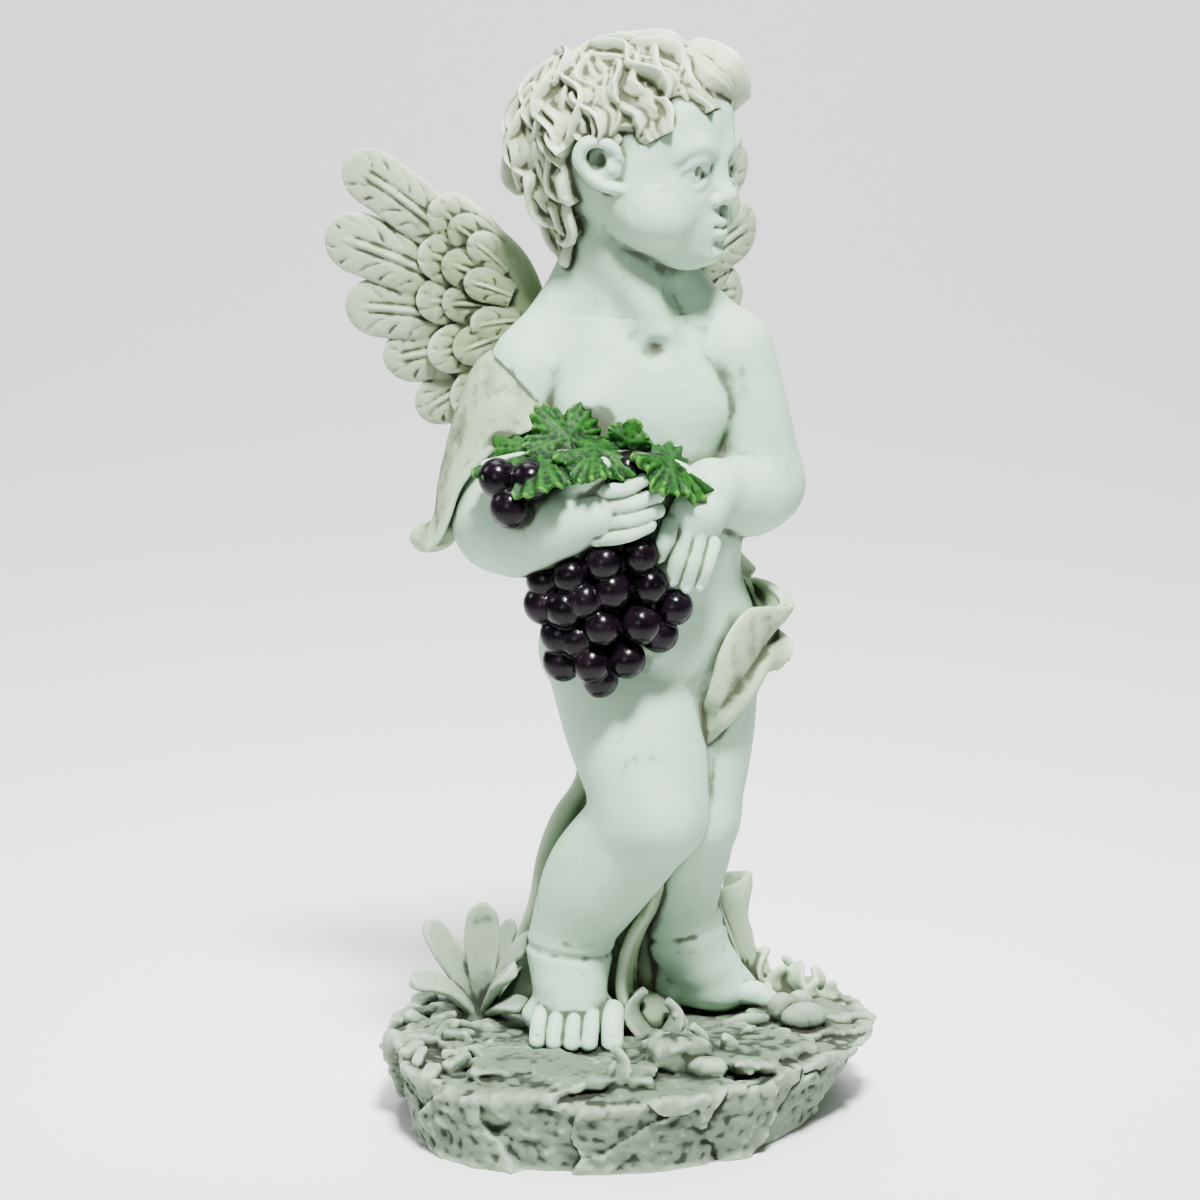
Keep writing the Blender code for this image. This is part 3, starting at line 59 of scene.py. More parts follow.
# Each wing's root, and its bearing (radians)
WINGS = {"right": ((-100, 59, 692), 3.07), "left": ((-8, 85, 690), 0.764)}

FIGURE_HEIGHT = 0.375
BASE_THICKNESS = 0.030
BASE_RADIUS = 0.090

GRAPE_RADIUS = 18.5
LIMB_FULLNESS = 1.0
FEATHER_THICKNESS = 11.0
CLOTH_THICKNESS = 12.0
VINE_LEAF_THICKNESS = 10.0
PETAL_THICKNESS = 10.0
LOCK_WIDTH = 40.0
LOCK_THICKNESS = 14.0
LOCK_WAVE = 84.0
LOCK_SWING = 11.0
SCALP_REACH = 98.0
ROCK_ROUGHNESS = 2.4

TORSO_YAW = 20
HEAD_YAW = 60
HEAD_CENTRE = (0, 8, 872)
SCALP_CENTRE = (0, -14, 14)
SCALP_RADII = (88, 104, 90)
CROWN_TILT = 24
HAIR_SEED = 11
# How far from the crown the hair reaches (degrees), by bearing from the forehead
HAIR_EDGE = (
    (0, 82), (30, 86), (55, 90), (70, 84), (84, 74), (98, 80), (112, 112), (130, 127), (180, 127),
)
# Rows of locks from the crown down: where they start (share of the way), length, how many
HAIR_ROWS = ((0.02, 96, 5), (0.16, 98, 8), (0.36, 92, 11), (0.58, 84, 14), (0.8, 62, 16))
# Rows of broad low locks that fill the mass between the others
UNDER_ROWS = ((0.06, 90, 4), (0.22, 86, 6), (0.4, 80, 8), (0.58, 72, 10), (0.76, 58, 12))
# Large rolls: bearing from the forehead and angle from the crown (degrees), length, height
HAIR_ROLLS = (
    (-24, 46, 74, 30), (14, 42, 98, 42), (38, 40, 80, 34), (66, 44, 70, 26), (-58, 42, 70, 24),
    (98, 26, 76, 26), (150, 34, 70, 24), (-110, 30, 70, 24), (20, 14, 70, 18), (-150, 60, 70, 22),
    (128, 70, 70, 22), (180, 66, 70, 22), (84, 66, 60, 22), (-84, 66, 60, 22),
)

# Rows of small feathers over the wing, outer row first: how many, how far they reach, half width
COVERT_ROWS = ((6, 100, 24), (6, 74, 20), (5, 50, 17))

BAND = 36.0
UNIT = FIGURE_HEIGHT / 1000
FLOOR = -BASE_THICKNESS / UNIT
BASE_REACH = BASE_RADIUS / UNIT
BASE_SPREAD = BASE_REACH / 240
# How far out the blocks of voxels reach that hold the base
BLOCK_REACH = 1.2 * BASE_REACH + 20
# How far round a spot the three shares of solid look, which tell how enclosed it is
CREVICE_REACHES = {"fine": 3.0, "middle": 7.0, "wide": 13.0}

# Radius of the base's rim and of its underside, as shares of BASE_RADIUS, each at its bearing
RIM = (
    (-180, 1.01), (-150, 1.06), (-130, 1.02), (-115, 0.91), (-95, 0.92), (-72, 0.86), (-45, 0.83),
    (-20, 0.86), (5, 0.99), (28, 1.09), (50, 1.11), (80, 1.06), (120, 1.04), (160, 1.04),
)
FOOT = (
    (-180, 0.96), (-150, 0.96), (-130, 0.94), (-110, 0.86), (-90, 0.80), (-60, 0.73), (-37, 0.70),
    (-14, 0.72), (10, 0.83), (35, 0.95), (60, 0.98), (120, 0.98), (160, 0.97),
)


# Vectors and curves


def turn(yaw=0, pitch=0, roll=0):
    """Matrix whose columns are the axes after a roll about y, a pitch about x and a yaw about z."""
    a, b, c = (math.radians(v) for v in (yaw, pitch, roll))
    rz = np.array([[math.cos(a), -math.sin(a), 0], [math.sin(a), math.cos(a), 0], [0, 0, 1]])
    rx = np.array([[1, 0, 0], [0, math.cos(b), -math.sin(b)], [0, math.sin(b), math.cos(b)]])
    ry = np.array([[math.cos(c), 0, math.sin(c)], [0, 1, 0], [-math.sin(c), 0, math.cos(c)]])
    return rz @ rx @ ry


def unit(v):
    v = np.asarray(v, float)
    return v / np.maximum(np.linalg.norm(v, axis=-1, keepdims=True), 1e-9)


def smooth_line(points, count):
    """Smooth curve through rows of numbers, as count rows."""
    p = np.asarray(points, float)
    p = np.concatenate([2 * p[:1] - p[1:2], p, 2 * p[-1:] - p[-2:-1]])
    at = np.linspace(0, len(p) - 3 - 1e-6, count)
    i = at.astype(int)
    t = (at - i).reshape((-1,) + (1,) * (p.ndim - 1))
    a, b, c, d = p[i], p[i + 1], p[i + 2], p[i + 3]
    bend = 2 * a - 5 * b + 4 * c - d
    return 0.5 * (2 * b + (c - a) * t + bend * t**2 + (3 * b - a - 3 * c + d) * t**3)


def grain(x, y, z, size, seed):
    """Smooth noise between -1 and 1 with bumps about as wide as size."""
    table = np.random.default_rng(seed).uniform(-1, 1, (16, 16, 16)).astype(np.float32)
    cells, parts = [], []
    for v in (x, y, z):
        v = np.asarray(v, np.float32) / size
        whole = np.floor(v)
        part = v - whole
        cells.append(whole.astype(np.int32))
        parts.append(part * part * (3 - 2 * part))
    total = 0
    for corner in range(8):
        weight, index = 1, []
        for axis in range(3):
            step = corner >> axis & 1
            weight = weight * (parts[axis] if step else 1 - parts[axis])
            index.append((cells[axis] + step) & 15)
        total = total + weight * table[tuple(index)]
    return total


# The block of voxels


def soft_min(a, b, blend):
    if blend <= 0:
        return np.minimum(a, b)
    near = np.clip(blend - np.abs(a - b), 0, None) / blend
    return np.minimum(a, b) - near * near * (blend / 4)


class Clay:
    """A block of voxels from corner low to corner high. Each holds its distance to the surface."""

    def __init__(self, low, high, voxel):
        self.voxel = float(voxel)
        self.first = np.floor(np.asarray(low, float) / voxel).astype(int)
        last = np.ceil(np.asarray(high, float) / voxel).astype(int)
        self.field = np.full(last - self.first + 1, BAND, np.float32)

    def window(self, low, high):
        shape = self.field.shape
        a = np.floor(np.asarray(low, float) / self.voxel).astype(int) - self.first
        b = np.ceil(np.asarray(high, float) / self.voxel).astype(int) - self.first + 1
        a, b = np.clip(a, 0, shape), np.clip(b, 0, shape)
        spans = tuple(slice(int(i), int(j)) for i, j in zip(a, b))
        axes = [(np.arange(i, j) + f) * self.voxel for i, j, f in zip(a, b, self.first)]
        return spans, np.ix_(*[axis.astype(np.float32) for axis in axes])

    def place(self, form, blend, sign):
        low, high, distance = form
        pad = min(BAND, max(blend, 2 * self.voxel) + 2 * self.voxel)
        spans, (x, y, z) = self.window(np.asarray(low) - pad, np.asarray(high) + pad)
        part = self.field[spans]
        if part.size:
            new = distance(x, y, z).astype(np.float32)
            self.field[spans] = sign * soft_min(sign * part, new, blend)

    def add(self, form, blend=0.0):
        self.place(form, blend, 1)

    def cut(self, form, blend=0.0):
        self.place(form, blend, -1)

    def add_shell(self, rings, blend=0.0):
        """Adds the closed form whose outline runs through rings of points."""
        points, quads, triangles = loft(rings)
        wide = math.ceil(max(blend, 2 * self.voxel) / self.voxel) + 2
        grid = openvdb.FloatGrid.createLevelSetFromPolygons(
            np.asarray(points, np.float32),
            triangles=np.asarray(triangles, np.uint32),
            quads=np.asarray(quads, np.uint32),
            transform=openvdb.createLinearTransform(self.voxel),
            halfWidth=wide,
        )
        low, high = (np.array(corner) for corner in grid.evalActiveVoxelBoundingBox())
        a = np.clip(low - self.first, 0, self.field.shape)
        b = np.clip(high + 1 - self.first, 0, self.field.shape)
        block = np.empty(np.maximum(b - a, 0), np.float32)
        if block.size:
            grid.copyToArray(block, ijk=tuple(int(i) for i in a + self.first))
            block[np.abs(block) > 0.99 * wide * self.voxel] *= BAND
            spans = tuple(slice(int(i), int(j)) for i, j in zip(a, b))
            self.field[spans] = soft_min(self.field[spans], block, blend)

    def merge(self, other, blend=0.0):
        start = other.first - self.first
        a = np.clip(start, 0, self.field.shape)
        b = np.clip(start + np.array(other.field.shape), 0, self.field.shape)
        mine = tuple(slice(int(i), int(j)) for i, j in zip(a, b))
        theirs = tuple(slice(int(i - s), int(j - s)) for i, j, s in zip(a, b, start))
        self.field[mine] = soft_min(self.field[mine], other.field[theirs], blend)

    def soften(self, times):
        """Evens out the surface over about as many voxels as times."""
        for _ in range(times):
            for axis in range(3):
                f = np.moveaxis(self.field, axis, 0)
                f[1:-1] = 0.25 * f[:-2] + 0.5 * f[1:-1] + 0.25 * f[2:]


# Forms: each is the two corners of its box and its distance function


def egg(centre, radii, axes=None):
    centre = np.asarray(centre, float)
    radii = np.asarray(radii, float) * np.ones(3)
    axes = np.eye(3) if axes is None else axes
    reach = np.sqrt(((axes * radii) ** 2).sum(1))

    def distance(x, y, z):
        p = [x - centre[0], y - centre[1], z - centre[2]]
        q = [sum(axes[j, i] * p[j] for j in range(3)) / radii[i] for i in range(3)]
        inner = np.sqrt(sum(v * v for v in q))
        slope = np.sqrt(sum((v / r) ** 2 for v, r in zip(q, radii)))
        return inner * (inner - 1) / np.maximum(slope, 1e-6)

    return centre - reach, centre + reach, distance


def stone(centre, radii, axes=None, rough=0.0, seed=0, power=4.0):
    """Block with rounded edges and an uneven surface."""
    centre, radii = np.asarray(centre, float), np.asarray(radii, float)
    axes = np.eye(3) if axes is None else axes
    reach = np.abs(axes) @ radii + rough

    def distance(x, y, z):
        p = [x - centre[0], y - centre[1], z - centre[2]]
        q = [np.abs(sum(axes[j, i] * p[j] for j in range(3))) / radii[i] for i in range(3)]
        d = (sum(v**power for v in q) ** (1 / power) - 1) * radii.min()
        return d + rough * grain(x, y, z, 17, seed) + 0.5 * rough * grain(x, y, z, 8, seed + 1)

    return centre - reach, centre + reach, distance


def limb(stations, count=0):
    """Round tube through rows of x, y, z and radius."""
    rows = np.asarray(stations, float)
    if len(rows) > 2:
        rows = smooth_line(rows, count or 7 * len(rows))
    pts, rad = rows[:, :3], rows[:, 3]

    def distance(x, y, z):
        best = BAND
        for a, b, ra, rb in zip(pts[:-1], pts[1:], rad[:-1], rad[1:]):
            ab = b - a
            along = (x - a[0]) * ab[0] + (y - a[1]) * ab[1] + (z - a[2]) * ab[2]
            t = np.clip(along / max(ab @ ab, 1e-9), 0, 1)
            off = [v - i - j * t for v, i, j in zip((x, y, z), a, ab)]
            best = np.minimum(best, np.sqrt(sum(o * o for o in off)) - (ra + (rb - ra) * t))
        return best

    return (pts - rad[:, None]).min(0), (pts + rad[:, None]).max(0), distance


def fuller(rows):
    return [(x, y, z, r * LIMB_FULLNESS) for x, y, z, r in rows]


# Forms made from rings of points


def loft(rings):
    """Points, quads and triangles of the closed mesh through rings, with a fan over each end."""
    rings = np.asarray(rings, float)
    n, m = rings.shape[:2]
    points = np.vstack([rings.reshape(-1, 3), rings[0].mean(0), rings[-1].mean(0)])
    i, j = np.meshgrid(np.arange(n - 1), np.arange(m), indexing="ij")
    k = (j + 1) % m
    quads = np.stack([i * m + j, i * m + k, (i + 1) * m + k, (i + 1) * m + j], -1)
    j = np.arange(m)
    k = (j + 1) % m
    start = np.stack([np.full(m, n * m), k, j], -1)
    end = np.stack([np.full(m, n * m + 1), (n - 1) * m + j, (n - 1) * m + k], -1)
    return points, quads.reshape(-1, 4), np.vstack([start, end])


def blade(line, width, thick, facing, cup=0.0, tilt=0.0, relief=None, flat=1.0, sides=36):
    """Rings of a strip along line. width and thick are half sizes at each point of the line,
    facing is where its broad side looks, cup bends its edges up, tilt turns it (degrees), and
    flat under 1 squares its section. relief(t, x) raises that side, t along and x across."""
    line = np.asarray(line, float)
    tangent = unit(np.gradient(line, axis=0))
    side = unit(np.cross(tangent, np.broadcast_to(np.asarray(facing, float), line.shape)))
    up = unit(np.cross(side, tangent))
    tilt = np.radians(np.broadcast_to(tilt, len(line)))[:, None]
    side, up = side * np.cos(tilt) + up * np.sin(tilt), up * np.cos(tilt) - side * np.sin(tilt)
    a = np.linspace(0, 2 * math.pi, sides, endpoint=False)
    cx, sx = np.cos(a), np.sin(a)
    w = np.broadcast_to(width, len(line))[:, None] * cx
    h = np.broadcast_to(thick, len(line))[:, None] * np.sign(sx) * np.abs(sx) ** flat
    if relief is not None:
        h = h + relief(np.linspace(0, 1, len(line))[:, None], cx[None, :]) * (sx > 0)
    h = h + np.broadcast_to(cup, len(line))[:, None] * np.abs(w) * np.abs(cx)
    return line[:, None] + side[:, None] * w[..., None] + up[:, None] * h[..., None]


def cloth(rows, thick, across=30, along=30, fold=None):
    """Rings of a sheet of cloth through rows of points, thinner at its rim."""
    net = smooth_line([smooth_line(row, along) for row in rows], across)
    facing = unit(np.cross(np.gradient(net, axis=0), np.gradient(net, axis=1)))
    u, v = np.meshgrid(np.linspace(0, 1, across), np.linspace(0, 1, along), indexing="ij")
    if fold is not None:
        net = net + facing * fold(u, v)[..., None]
        facing = unit(np.cross(np.gradient(net, axis=0), np.gradient(net, axis=1)))
    rim = np.minimum(np.minimum(u, 1 - u), np.minimum(v, 1 - v))
    half = thick / 2 * np.clip(0.45 + 5 * rim, 0, 1)[..., None]
    return np.concatenate([net + facing * half, (net - facing * half)[:, ::-1]], axis=1)


# Body


def torso(c):
    ax = turn(yaw=TORSO_YAW)
    side, back = ax[:, 0], ax[:, 1]
    c.add(egg((-2, 12, 612), (92, 74, 102), ax))
    c.add(egg((0, 14, 668), (102, 54, 46), turn(yaw=12)), 26)
    c.add(egg((12, 2, 506), (95, 92, 92), ax), 34)
    c.add(egg((22, 18, 412), (100, 84, 80), ax), 34)
    hips = np.array([22, 18, 385.0])
    chest = np.array([0, 12, 634.0])
    for s in (-1, 1):
        c.add(egg(hips + back * 50 + side * 44 * s, (57, 52, 58), ax), 12)
        c.add(egg(chest - back * 44 + side * 42 * s, (44, 24, 32), ax), 30)
        c.add(egg(chest + back * 48 + side * 48 * s, (42, 22, 46), ax), 26)
    c.add(limb([(-6, 16, 680, 62), (-10, 20, 735, 54), (-8, 20, 800, 52)]), 30)
    c.add(limb([(-44, 26, 760, 26), (-76, 12, 712, 28), (-100, 0, 682, 32)]), 30)
    c.add(limb([(34, 32, 752, 28), (68, 30, 716, 30), (94, 22, 692, 32)]), 30)
    c.add(limb([(-26, -10, 800, 18), (4, -34, 752, 17), (22, -34, 712, 11)]), 26)
    c.cut(egg((22, -52, 694), (12, 11, 8)), 14)
    # The crease under the belly
    c.cut(limb([(88, -62, 430, 3), (62, -76, 404, 3), (30, -80, 386, 3), (0, -74, 382, 2)]), 9)
    c.cut(egg((30, -92, 476), (5, 9, 7)), 8)
    for s in (-1, 1):
        c.add(egg(chest - back * 66 + side * 46 * s - (0, 0, 8), 4), 4)


def arm_right(c):
    upper = [(-98, -2, 666, 43), (-116, -10, 614, 43), (-126, -24, 562, 43), (-124, -40, 526, 46)]
    fore = [(-126, -40, 524, 46), (-106, -76, 526, 47), (-80, -98, 535, 39), (-58, -106, 541, 31)]
    c.add(limb(fuller(upper)), 4)
    c.add(limb(fuller(fore)), 12)


def hand_right(c):
    c.add(limb([(-62, -106, 541, 31), (-50, -110, 545, 29), (-36, -113, 548, 27)]), 5)
    c.add(egg((-36, -112, 548), (26, 17, 32), turn(yaw=8, roll=-18)), 6)
    for k in range(4):
        reach = (0, 14, 14, 6)[k]
        z = 571 - 14.5 * k
        r = 8.6 - 0.7 * (k == 3)
        finger = [(-34, -122, z - 2, r + 1), (-10 + reach * 0.4, -131, z + 3, r)]
        finger += [(8 + reach, -128, z + 11, r - 1)]
        c.add(limb(finger), 1.5)
        nail(c, finger[-1][:3], (0.72, -0.6, 0.35), 4.6)
    c.add(limb([(-62, -112, 562, 13), (-46, -122, 580, 12), (-30, -126, 594, 10)]), 5)


def arm_left(c):
    upper = [(94, 20, 682, 43), (110, 22, 622, 42), (121, 26, 566, 43), (122, 27, 552, 42)]
    fore = [(124, 28, 552, 43), (110, 0, 546, 42), (92, -34, 552, 35), (74, -62, 562, 29)]
    c.add(limb(fuller(upper)), 4)
    c.add(limb(fuller(fore)), 12)


def hand_left(c):
    c.add(limb([(75, -62, 561, 29), (70, -74, 555, 27), (64, -86, 546, 26)]), 5)
    c.add(egg((58, -92, 536), (28, 16, 33), turn(yaw=18, roll=20)), 6)
    for k in range(4):
        x, y, z = 36 + 13 * k, -103 + 2 * k, 536 - 7 * k
        drop = (30, 46, 46, 38)[k]
        r = 8.8 - 0.8 * (k == 3)
        finger = [(x, y, z, r), (x - 6, y - 9, z - 0.5 * drop, r)]
        finger += [(x - 12, y - 4, z - drop, r - 1.4)]
        c.add(limb(finger), 1.5)
        nail(c, finger[-1][:3], (-0.1, -0.75, -0.65), 4.6)


def nail(c, spot, way, size):
    """A finger or toe nail on the end of a round tip."""
    way = unit(np.array(way, float))
    side = unit(np.cross((0, 0, 1), way))
    ax = np.stack([side, way, np.cross(side, way)], 1)
    c.cut(egg(np.array(spot) + way * size * 1.75, (size, 1.5, size * 1.1), ax), 0.8)
    c.add(egg(np.array(spot) + way * size * 1.45, (size * 0.78, 1.6, size * 0.9), ax), 0.4)


def leg_right(c):
    thigh = [(-8, 6, 372, 74), (2, -16, 322, 69), (12, -38, 278, 61), (18, -50, 244, 54)]
    shin = [(18, -46, 238, 52), (-10, -22, 198, 54), (-34, -4, 162, 53), (-54, 10, 120, 44)]
    shin += [(-62, 17, 92, 40)]
    c.add(limb(fuller(thigh)))
    c.add(limb(fuller(shin)), 14)
    c.add(egg((28, -84, 248), (26, 20, 27)), 20)


def foot_right(c):
    c.add(egg((-64, 42, 28), (34, 38, 34)))
    c.add(limb([(-62, 18, 78, 40), (-62, 2, 52, 37), (-60, -14, 34, 28)]), 16)
    c.add(egg((-60, 0, 21), (50, 36, 24)), 12)
    for k in range(5):
        big = k == 4
        x, reach = -94 + 17 * k + 2 * big, (30, 36, 39, 38, 37)[k]
        r = (8.2, 8.3, 8.5, 8.8, 11)[k]
        toe = [(x + 5, -18, 30, r), (x + 2 + 2 * big, -26 - 0.5 * reach, 25, r + 0.4)]
        toe += [(x + 4 * big, -22 - reach, 9, r)]
        c.add(limb(toe), 0.8)
        nail(c, toe[-1][:3], (0, -0.85, 0.55), 0.5 * r)


def leg_left(c):
    thigh = [(60, 24, 362, 64), (64, 24, 304, 56), (62, 18, 254, 49), (58, 16, 224, 47)]
    shin = [(58, 18, 220, 46), (54, 38, 182, 45), (50, 57, 142, 40), (50, 69, 114, 37)]
    shin += [(54, 75, 92, 38)]
    c.add(limb(fuller(thigh)))
    c.add(limb(fuller(shin)), 14)
    c.add(egg((64, -14, 224), (25, 17, 24)), 18)


def foot_left(c):
    c.add(egg((30, 92, 30), (34, 32, 34)))
    c.add(limb([(52, 77, 78, 39), (70, 80, 52, 36), (90, 84, 32, 27)]), 16)
    c.add(egg((86, 92, 22), (42, 38, 23)), 12)
    for k in range(5):
        big = k == 0
        across, reach = 71 + 14 * k + 4 * (not big), (38, 38, 36, 32, 27)[k]
        r = (12.5, 8.8, 8.5, 8.2, 8)[k]
        start = 104 - 3 * k
        toe = [(start, across, 24, r), (start + 0.6 * reach, across + 2 * k, 20, r + 0.4)]
        toe += [(start + reach, across + 2.5 * k, 9, r)]
        c.add(limb(toe), 0.8)
        nail(c, toe[-1][:3], (0.85, -0.15, 0.5), 0.5 * r)


def body(voxel):
    low, high = (-190, -190, -30), (190, 190, 840)
    c = Clay(low, high, voxel)
    torso(c)
    for smooth_part, fine_part, blend in (
        (arm_right, hand_right, 5),
        (arm_left, hand_left, 5),
        (leg_right, foot_right, 8),
        (leg_left, foot_left, 8),
    ):
        group = Clay(low, high, voxel)
        smooth_part(group)
        group.soften(round(LIMB_SOFTENING / voxel))
        fine_part(group)
        c.merge(group, blend)
    # The deep creases above the ankles
    for centre, radius, tilt in (((-62, 17, 86), 45, 6), ((54, 76, 88), 44, -12)):
        ring(c, centre, radius, turn(roll=tilt), 3.2)
    return c


def ring(c, centre, radius, axes, wide):
    """Cuts a groove round a limb."""
    a = np.linspace(0, 2 * math.pi, 25)
    spots = np.asarray(centre) + np.stack([np.cos(a), np.sin(a), 0 * a], -1) * radius @ axes.T
    c.cut(limb([(*p, wide) for p in spots], 49), 5)


# Head


def head_spot(s, f, v):
    """A point of the head: s to its left, f forward and v up."""
    return np.array(HEAD_CENTRE) + turn(yaw=HEAD_YAW) @ np.array([s, -f, v])


def track(points, side=1):
    return [(*head_spot(s * side, f, v), r) for s, f, v, r in points]


def head(c):
    ax = turn(yaw=HEAD_YAW)
    c.add(egg(head_spot(0, -12, 12), (84, 101, 87), ax))
    c.add(egg(head_spot(0, 34, -22), (74, 59, 70), ax), 30)
    for s in (-1, 1):
        c.add(egg(head_spot(42 * s, 50, -46), (38, 37, 35), ax), 22)
        c.add(egg(head_spot(28 * s, 60, 36), (32, 27, 30), ax), 28)
    c.add(egg(head_spot(0, 62, -80), (32, 27, 24), ax), 24)
    c.add(egg(head_spot(0, 84, -84), (13, 10, 11), ax), 12)
    c.add(egg(head_spot(0, 76, -58), (25, 18, 20), ax), 18)
    for s in (-1, 1):
        eye(c, s, ax)
        ear(c, s, ax)
    nose(c, ax)
    mouth(c)


def eye(c, s, ax):
    c.cut(egg(head_spot(36 * s, 98, -6), (23, 13, 16), ax), 16)
    c.add(egg(head_spot(34.5 * s, 70, -9), (20, 19, 17)), 2)
    upper = [(16, 87, -12, 2.4), (24, 91, -2, 3.6), (35, 90.5, 3.5, 4.2), (47, 83, -2, 3.6)]
    lower = [(16, 87, -12, 2.4), (25, 89, -19, 2.8), (36, 87, -22, 3.0), (47, 80.5, -18, 2.8)]
    outer = [(55, 73, -11, 2.2)]
    c.add(limb(track(upper + outer, s)), 4)
    c.add(limb(track(lower + outer, s)), 5)
    c.add(limb(track([(18, 92, 10, 4), (34, 92, 18, 5), (53, 79, 13, 4)], s)), 18)
    c.cut(egg(head_spot(35 * s, 91.5, -9), (6, 4.5, 6.5), ax), 1)


def nose(c, ax):
    c.add(limb(track([(0, 88, 2, 7), (0, 93, -14, 7), (0, 100, -29, 8)])), 14)
    c.add(egg(head_spot(0, 102, -31), (10, 9.5, 8.5), ax), 6)
    for s in (-1, 1):
        c.add(egg(head_spot(10.5 * s, 95, -35), (7, 8, 6.5), ax), 4)
        c.cut(egg(head_spot(5.5 * s, 100, -41), (2.8, 3.5, 2.8), ax), 1.5)
    c.cut(limb(track([(0, 99, -45, 2), (0, 97, -51, 2)])), 6)


def mouth(c):
    upper = [(-16, 85, -59.5, 2.4), (-8, 93, -56, 4.8), (0, 95, -57.5, 4.6)]
    lower = [(-13, 86, -64, 3.0), (-7, 92, -67.5, 5.6), (0, 93.5, -68.5, 6)]
    parting = [(-17, 86, -60.5, 0.8), (-9, 97, -61.5, 1.2), (0, 99, -63, 1.2)]
    for rows in (upper, lower):
        c.add(limb(track(rows + [(-s, f, v, r) for s, f, v, r in rows[1::-1]])), 4)
    c.cut(limb(track(parting + [(-s, f, v, r) for s, f, v, r in parting[1::-1]])), 2.5)
    c.cut(limb(track([(-8, 96, -79, 3), (8, 96, -79, 3)])), 9)


def ear(c, side, ax):
    c.add(egg(head_spot(82 * side, 14, 2), (9, 17, 20), ax), 8)
    rim = [(84, 31, 8, 4), (87, 28, 17, 5.5), (93, 15, 23, 6.5), (97, 2, 19, 7), (96, -4, 6, 7)]
    rim += [(91, 1, -6, 6.5), (87, 10, -15, 6.5), (84, 22, -20, 6.5), (80, 33, -22, 5)]
    c.add(limb(track(rim, side)), 4)
    c.cut(egg(head_spot(93 * side, 13, 4), (10, 9, 11), ax), 5)
    c.add(egg(head_spot(84 * side, 26, -2), (6, 4, 6), ax), 4)


# Hair


def scalp(polar, around, height):
    """Points height above the scalp, and the way it faces there. polar is the angle from the
    crown and around is 0 over the forehead (radians)."""
    tilt = math.radians(CROWN_TILT)
    s = np.sin(polar) * np.sin(around)
    f, v = np.sin(polar) * np.cos(around), np.cos(polar)
    f, v = f * math.cos(tilt) - v * math.sin(tilt), f * math.sin(tilt) + v * math.cos(tilt)
    way = np.stack([s, f, v], -1)
    radii = np.array(SCALP_RADII)
    spot = way / np.linalg.norm(way / radii, axis=-1, keepdims=True)
    facing = unit(spot / radii**2)
    p = np.array(SCALP_CENTRE) + spot + facing * np.asarray(height)[..., None]
    ax = turn(yaw=HEAD_YAW) * np.array([1, -1, 1])
    return np.array(HEAD_CENTRE) + p @ ax.T, facing @ ax.T


def hair_edge(around):
    """How far from the crown the hair reaches (degrees). It leaves the ears free."""
    a = np.abs((np.degrees(around) + 180) % 360 - 180)
    bearings, angles = zip(*HAIR_EDGE)
    return np.interp(a, bearings, angles)


def hair(c):
    """Locks carved from one mass: each spot is as high as the highest lock over it. Rows of broad
    low locks fill the mass between the others."""
    rng = np.random.default_rng(HAIR_SEED)
    around = np.linspace(-math.pi, math.pi, 700, endpoint=False)[None, :]
    share = np.linspace(0.01, 1.16, 340)[:, None]
    polar = share * np.radians(hair_edge(around))
    high = np.interp(share, [0.9, 1.0, 1.16], [8, -4, -12]) + 0 * around
    strands = np.cos(44 * around + 4 * np.sin(9 * share + 3 * around))
    high = high + 1.3 * strands * np.minimum(share * 3, 1)
    for row, (start, length, count) in enumerate(HAIR_ROWS):
        for k in range(count):
            bearing = 2 * math.pi * (k + 0.5 * (row % 2) + rng.uniform(-0.2, 0.2)) / count
            first = math.radians(float(hair_edge(bearing))) * (start + rng.uniform(-0.04, 0.04))
            long, hand = length * rng.uniform(0.88, 1.15), 1 if (k // 2 + row) % 2 else -1
            peak = rng.uniform(12, 25)
            up = lock_height(rng, polar, around, bearing, first, long, hand, peak)
            high = np.maximum(high, up)
    for bearing, first, long, peak in HAIR_ROLLS:
        hand = 1 if bearing % 4 else -1
        place = math.radians(bearing), math.radians(first)
        high = np.maximum(high, lock_height(rng, polar, around, *place, long, hand, peak))
    for row, (start, length, count) in enumerate(UNDER_ROWS):
        for k in range(count):
            bearing = 2 * math.pi * (k + 0.5 * (row % 2) + rng.uniform(-0.3, 0.3)) / count
            first = math.radians(float(hair_edge(bearing))) * (start + rng.uniform(-0.04, 0.04))
            hand = 1 if rng.uniform() < 0.5 else -1
            place = bearing, first, length * rng.uniform(0.85, 1.15), hand, rng.uniform(13, 19)
            high = np.maximum(high, lock_height(rng, polar, around, *place, 1.5))
    rings = [scalp(polar[i], around[0], high[i])[0] for i in range(len(polar))]
    c.add_shell(rings + [scalp(polar[-1], around[0], -16 + 0 * around[0])[0]], 1)
    nape(c, rng)


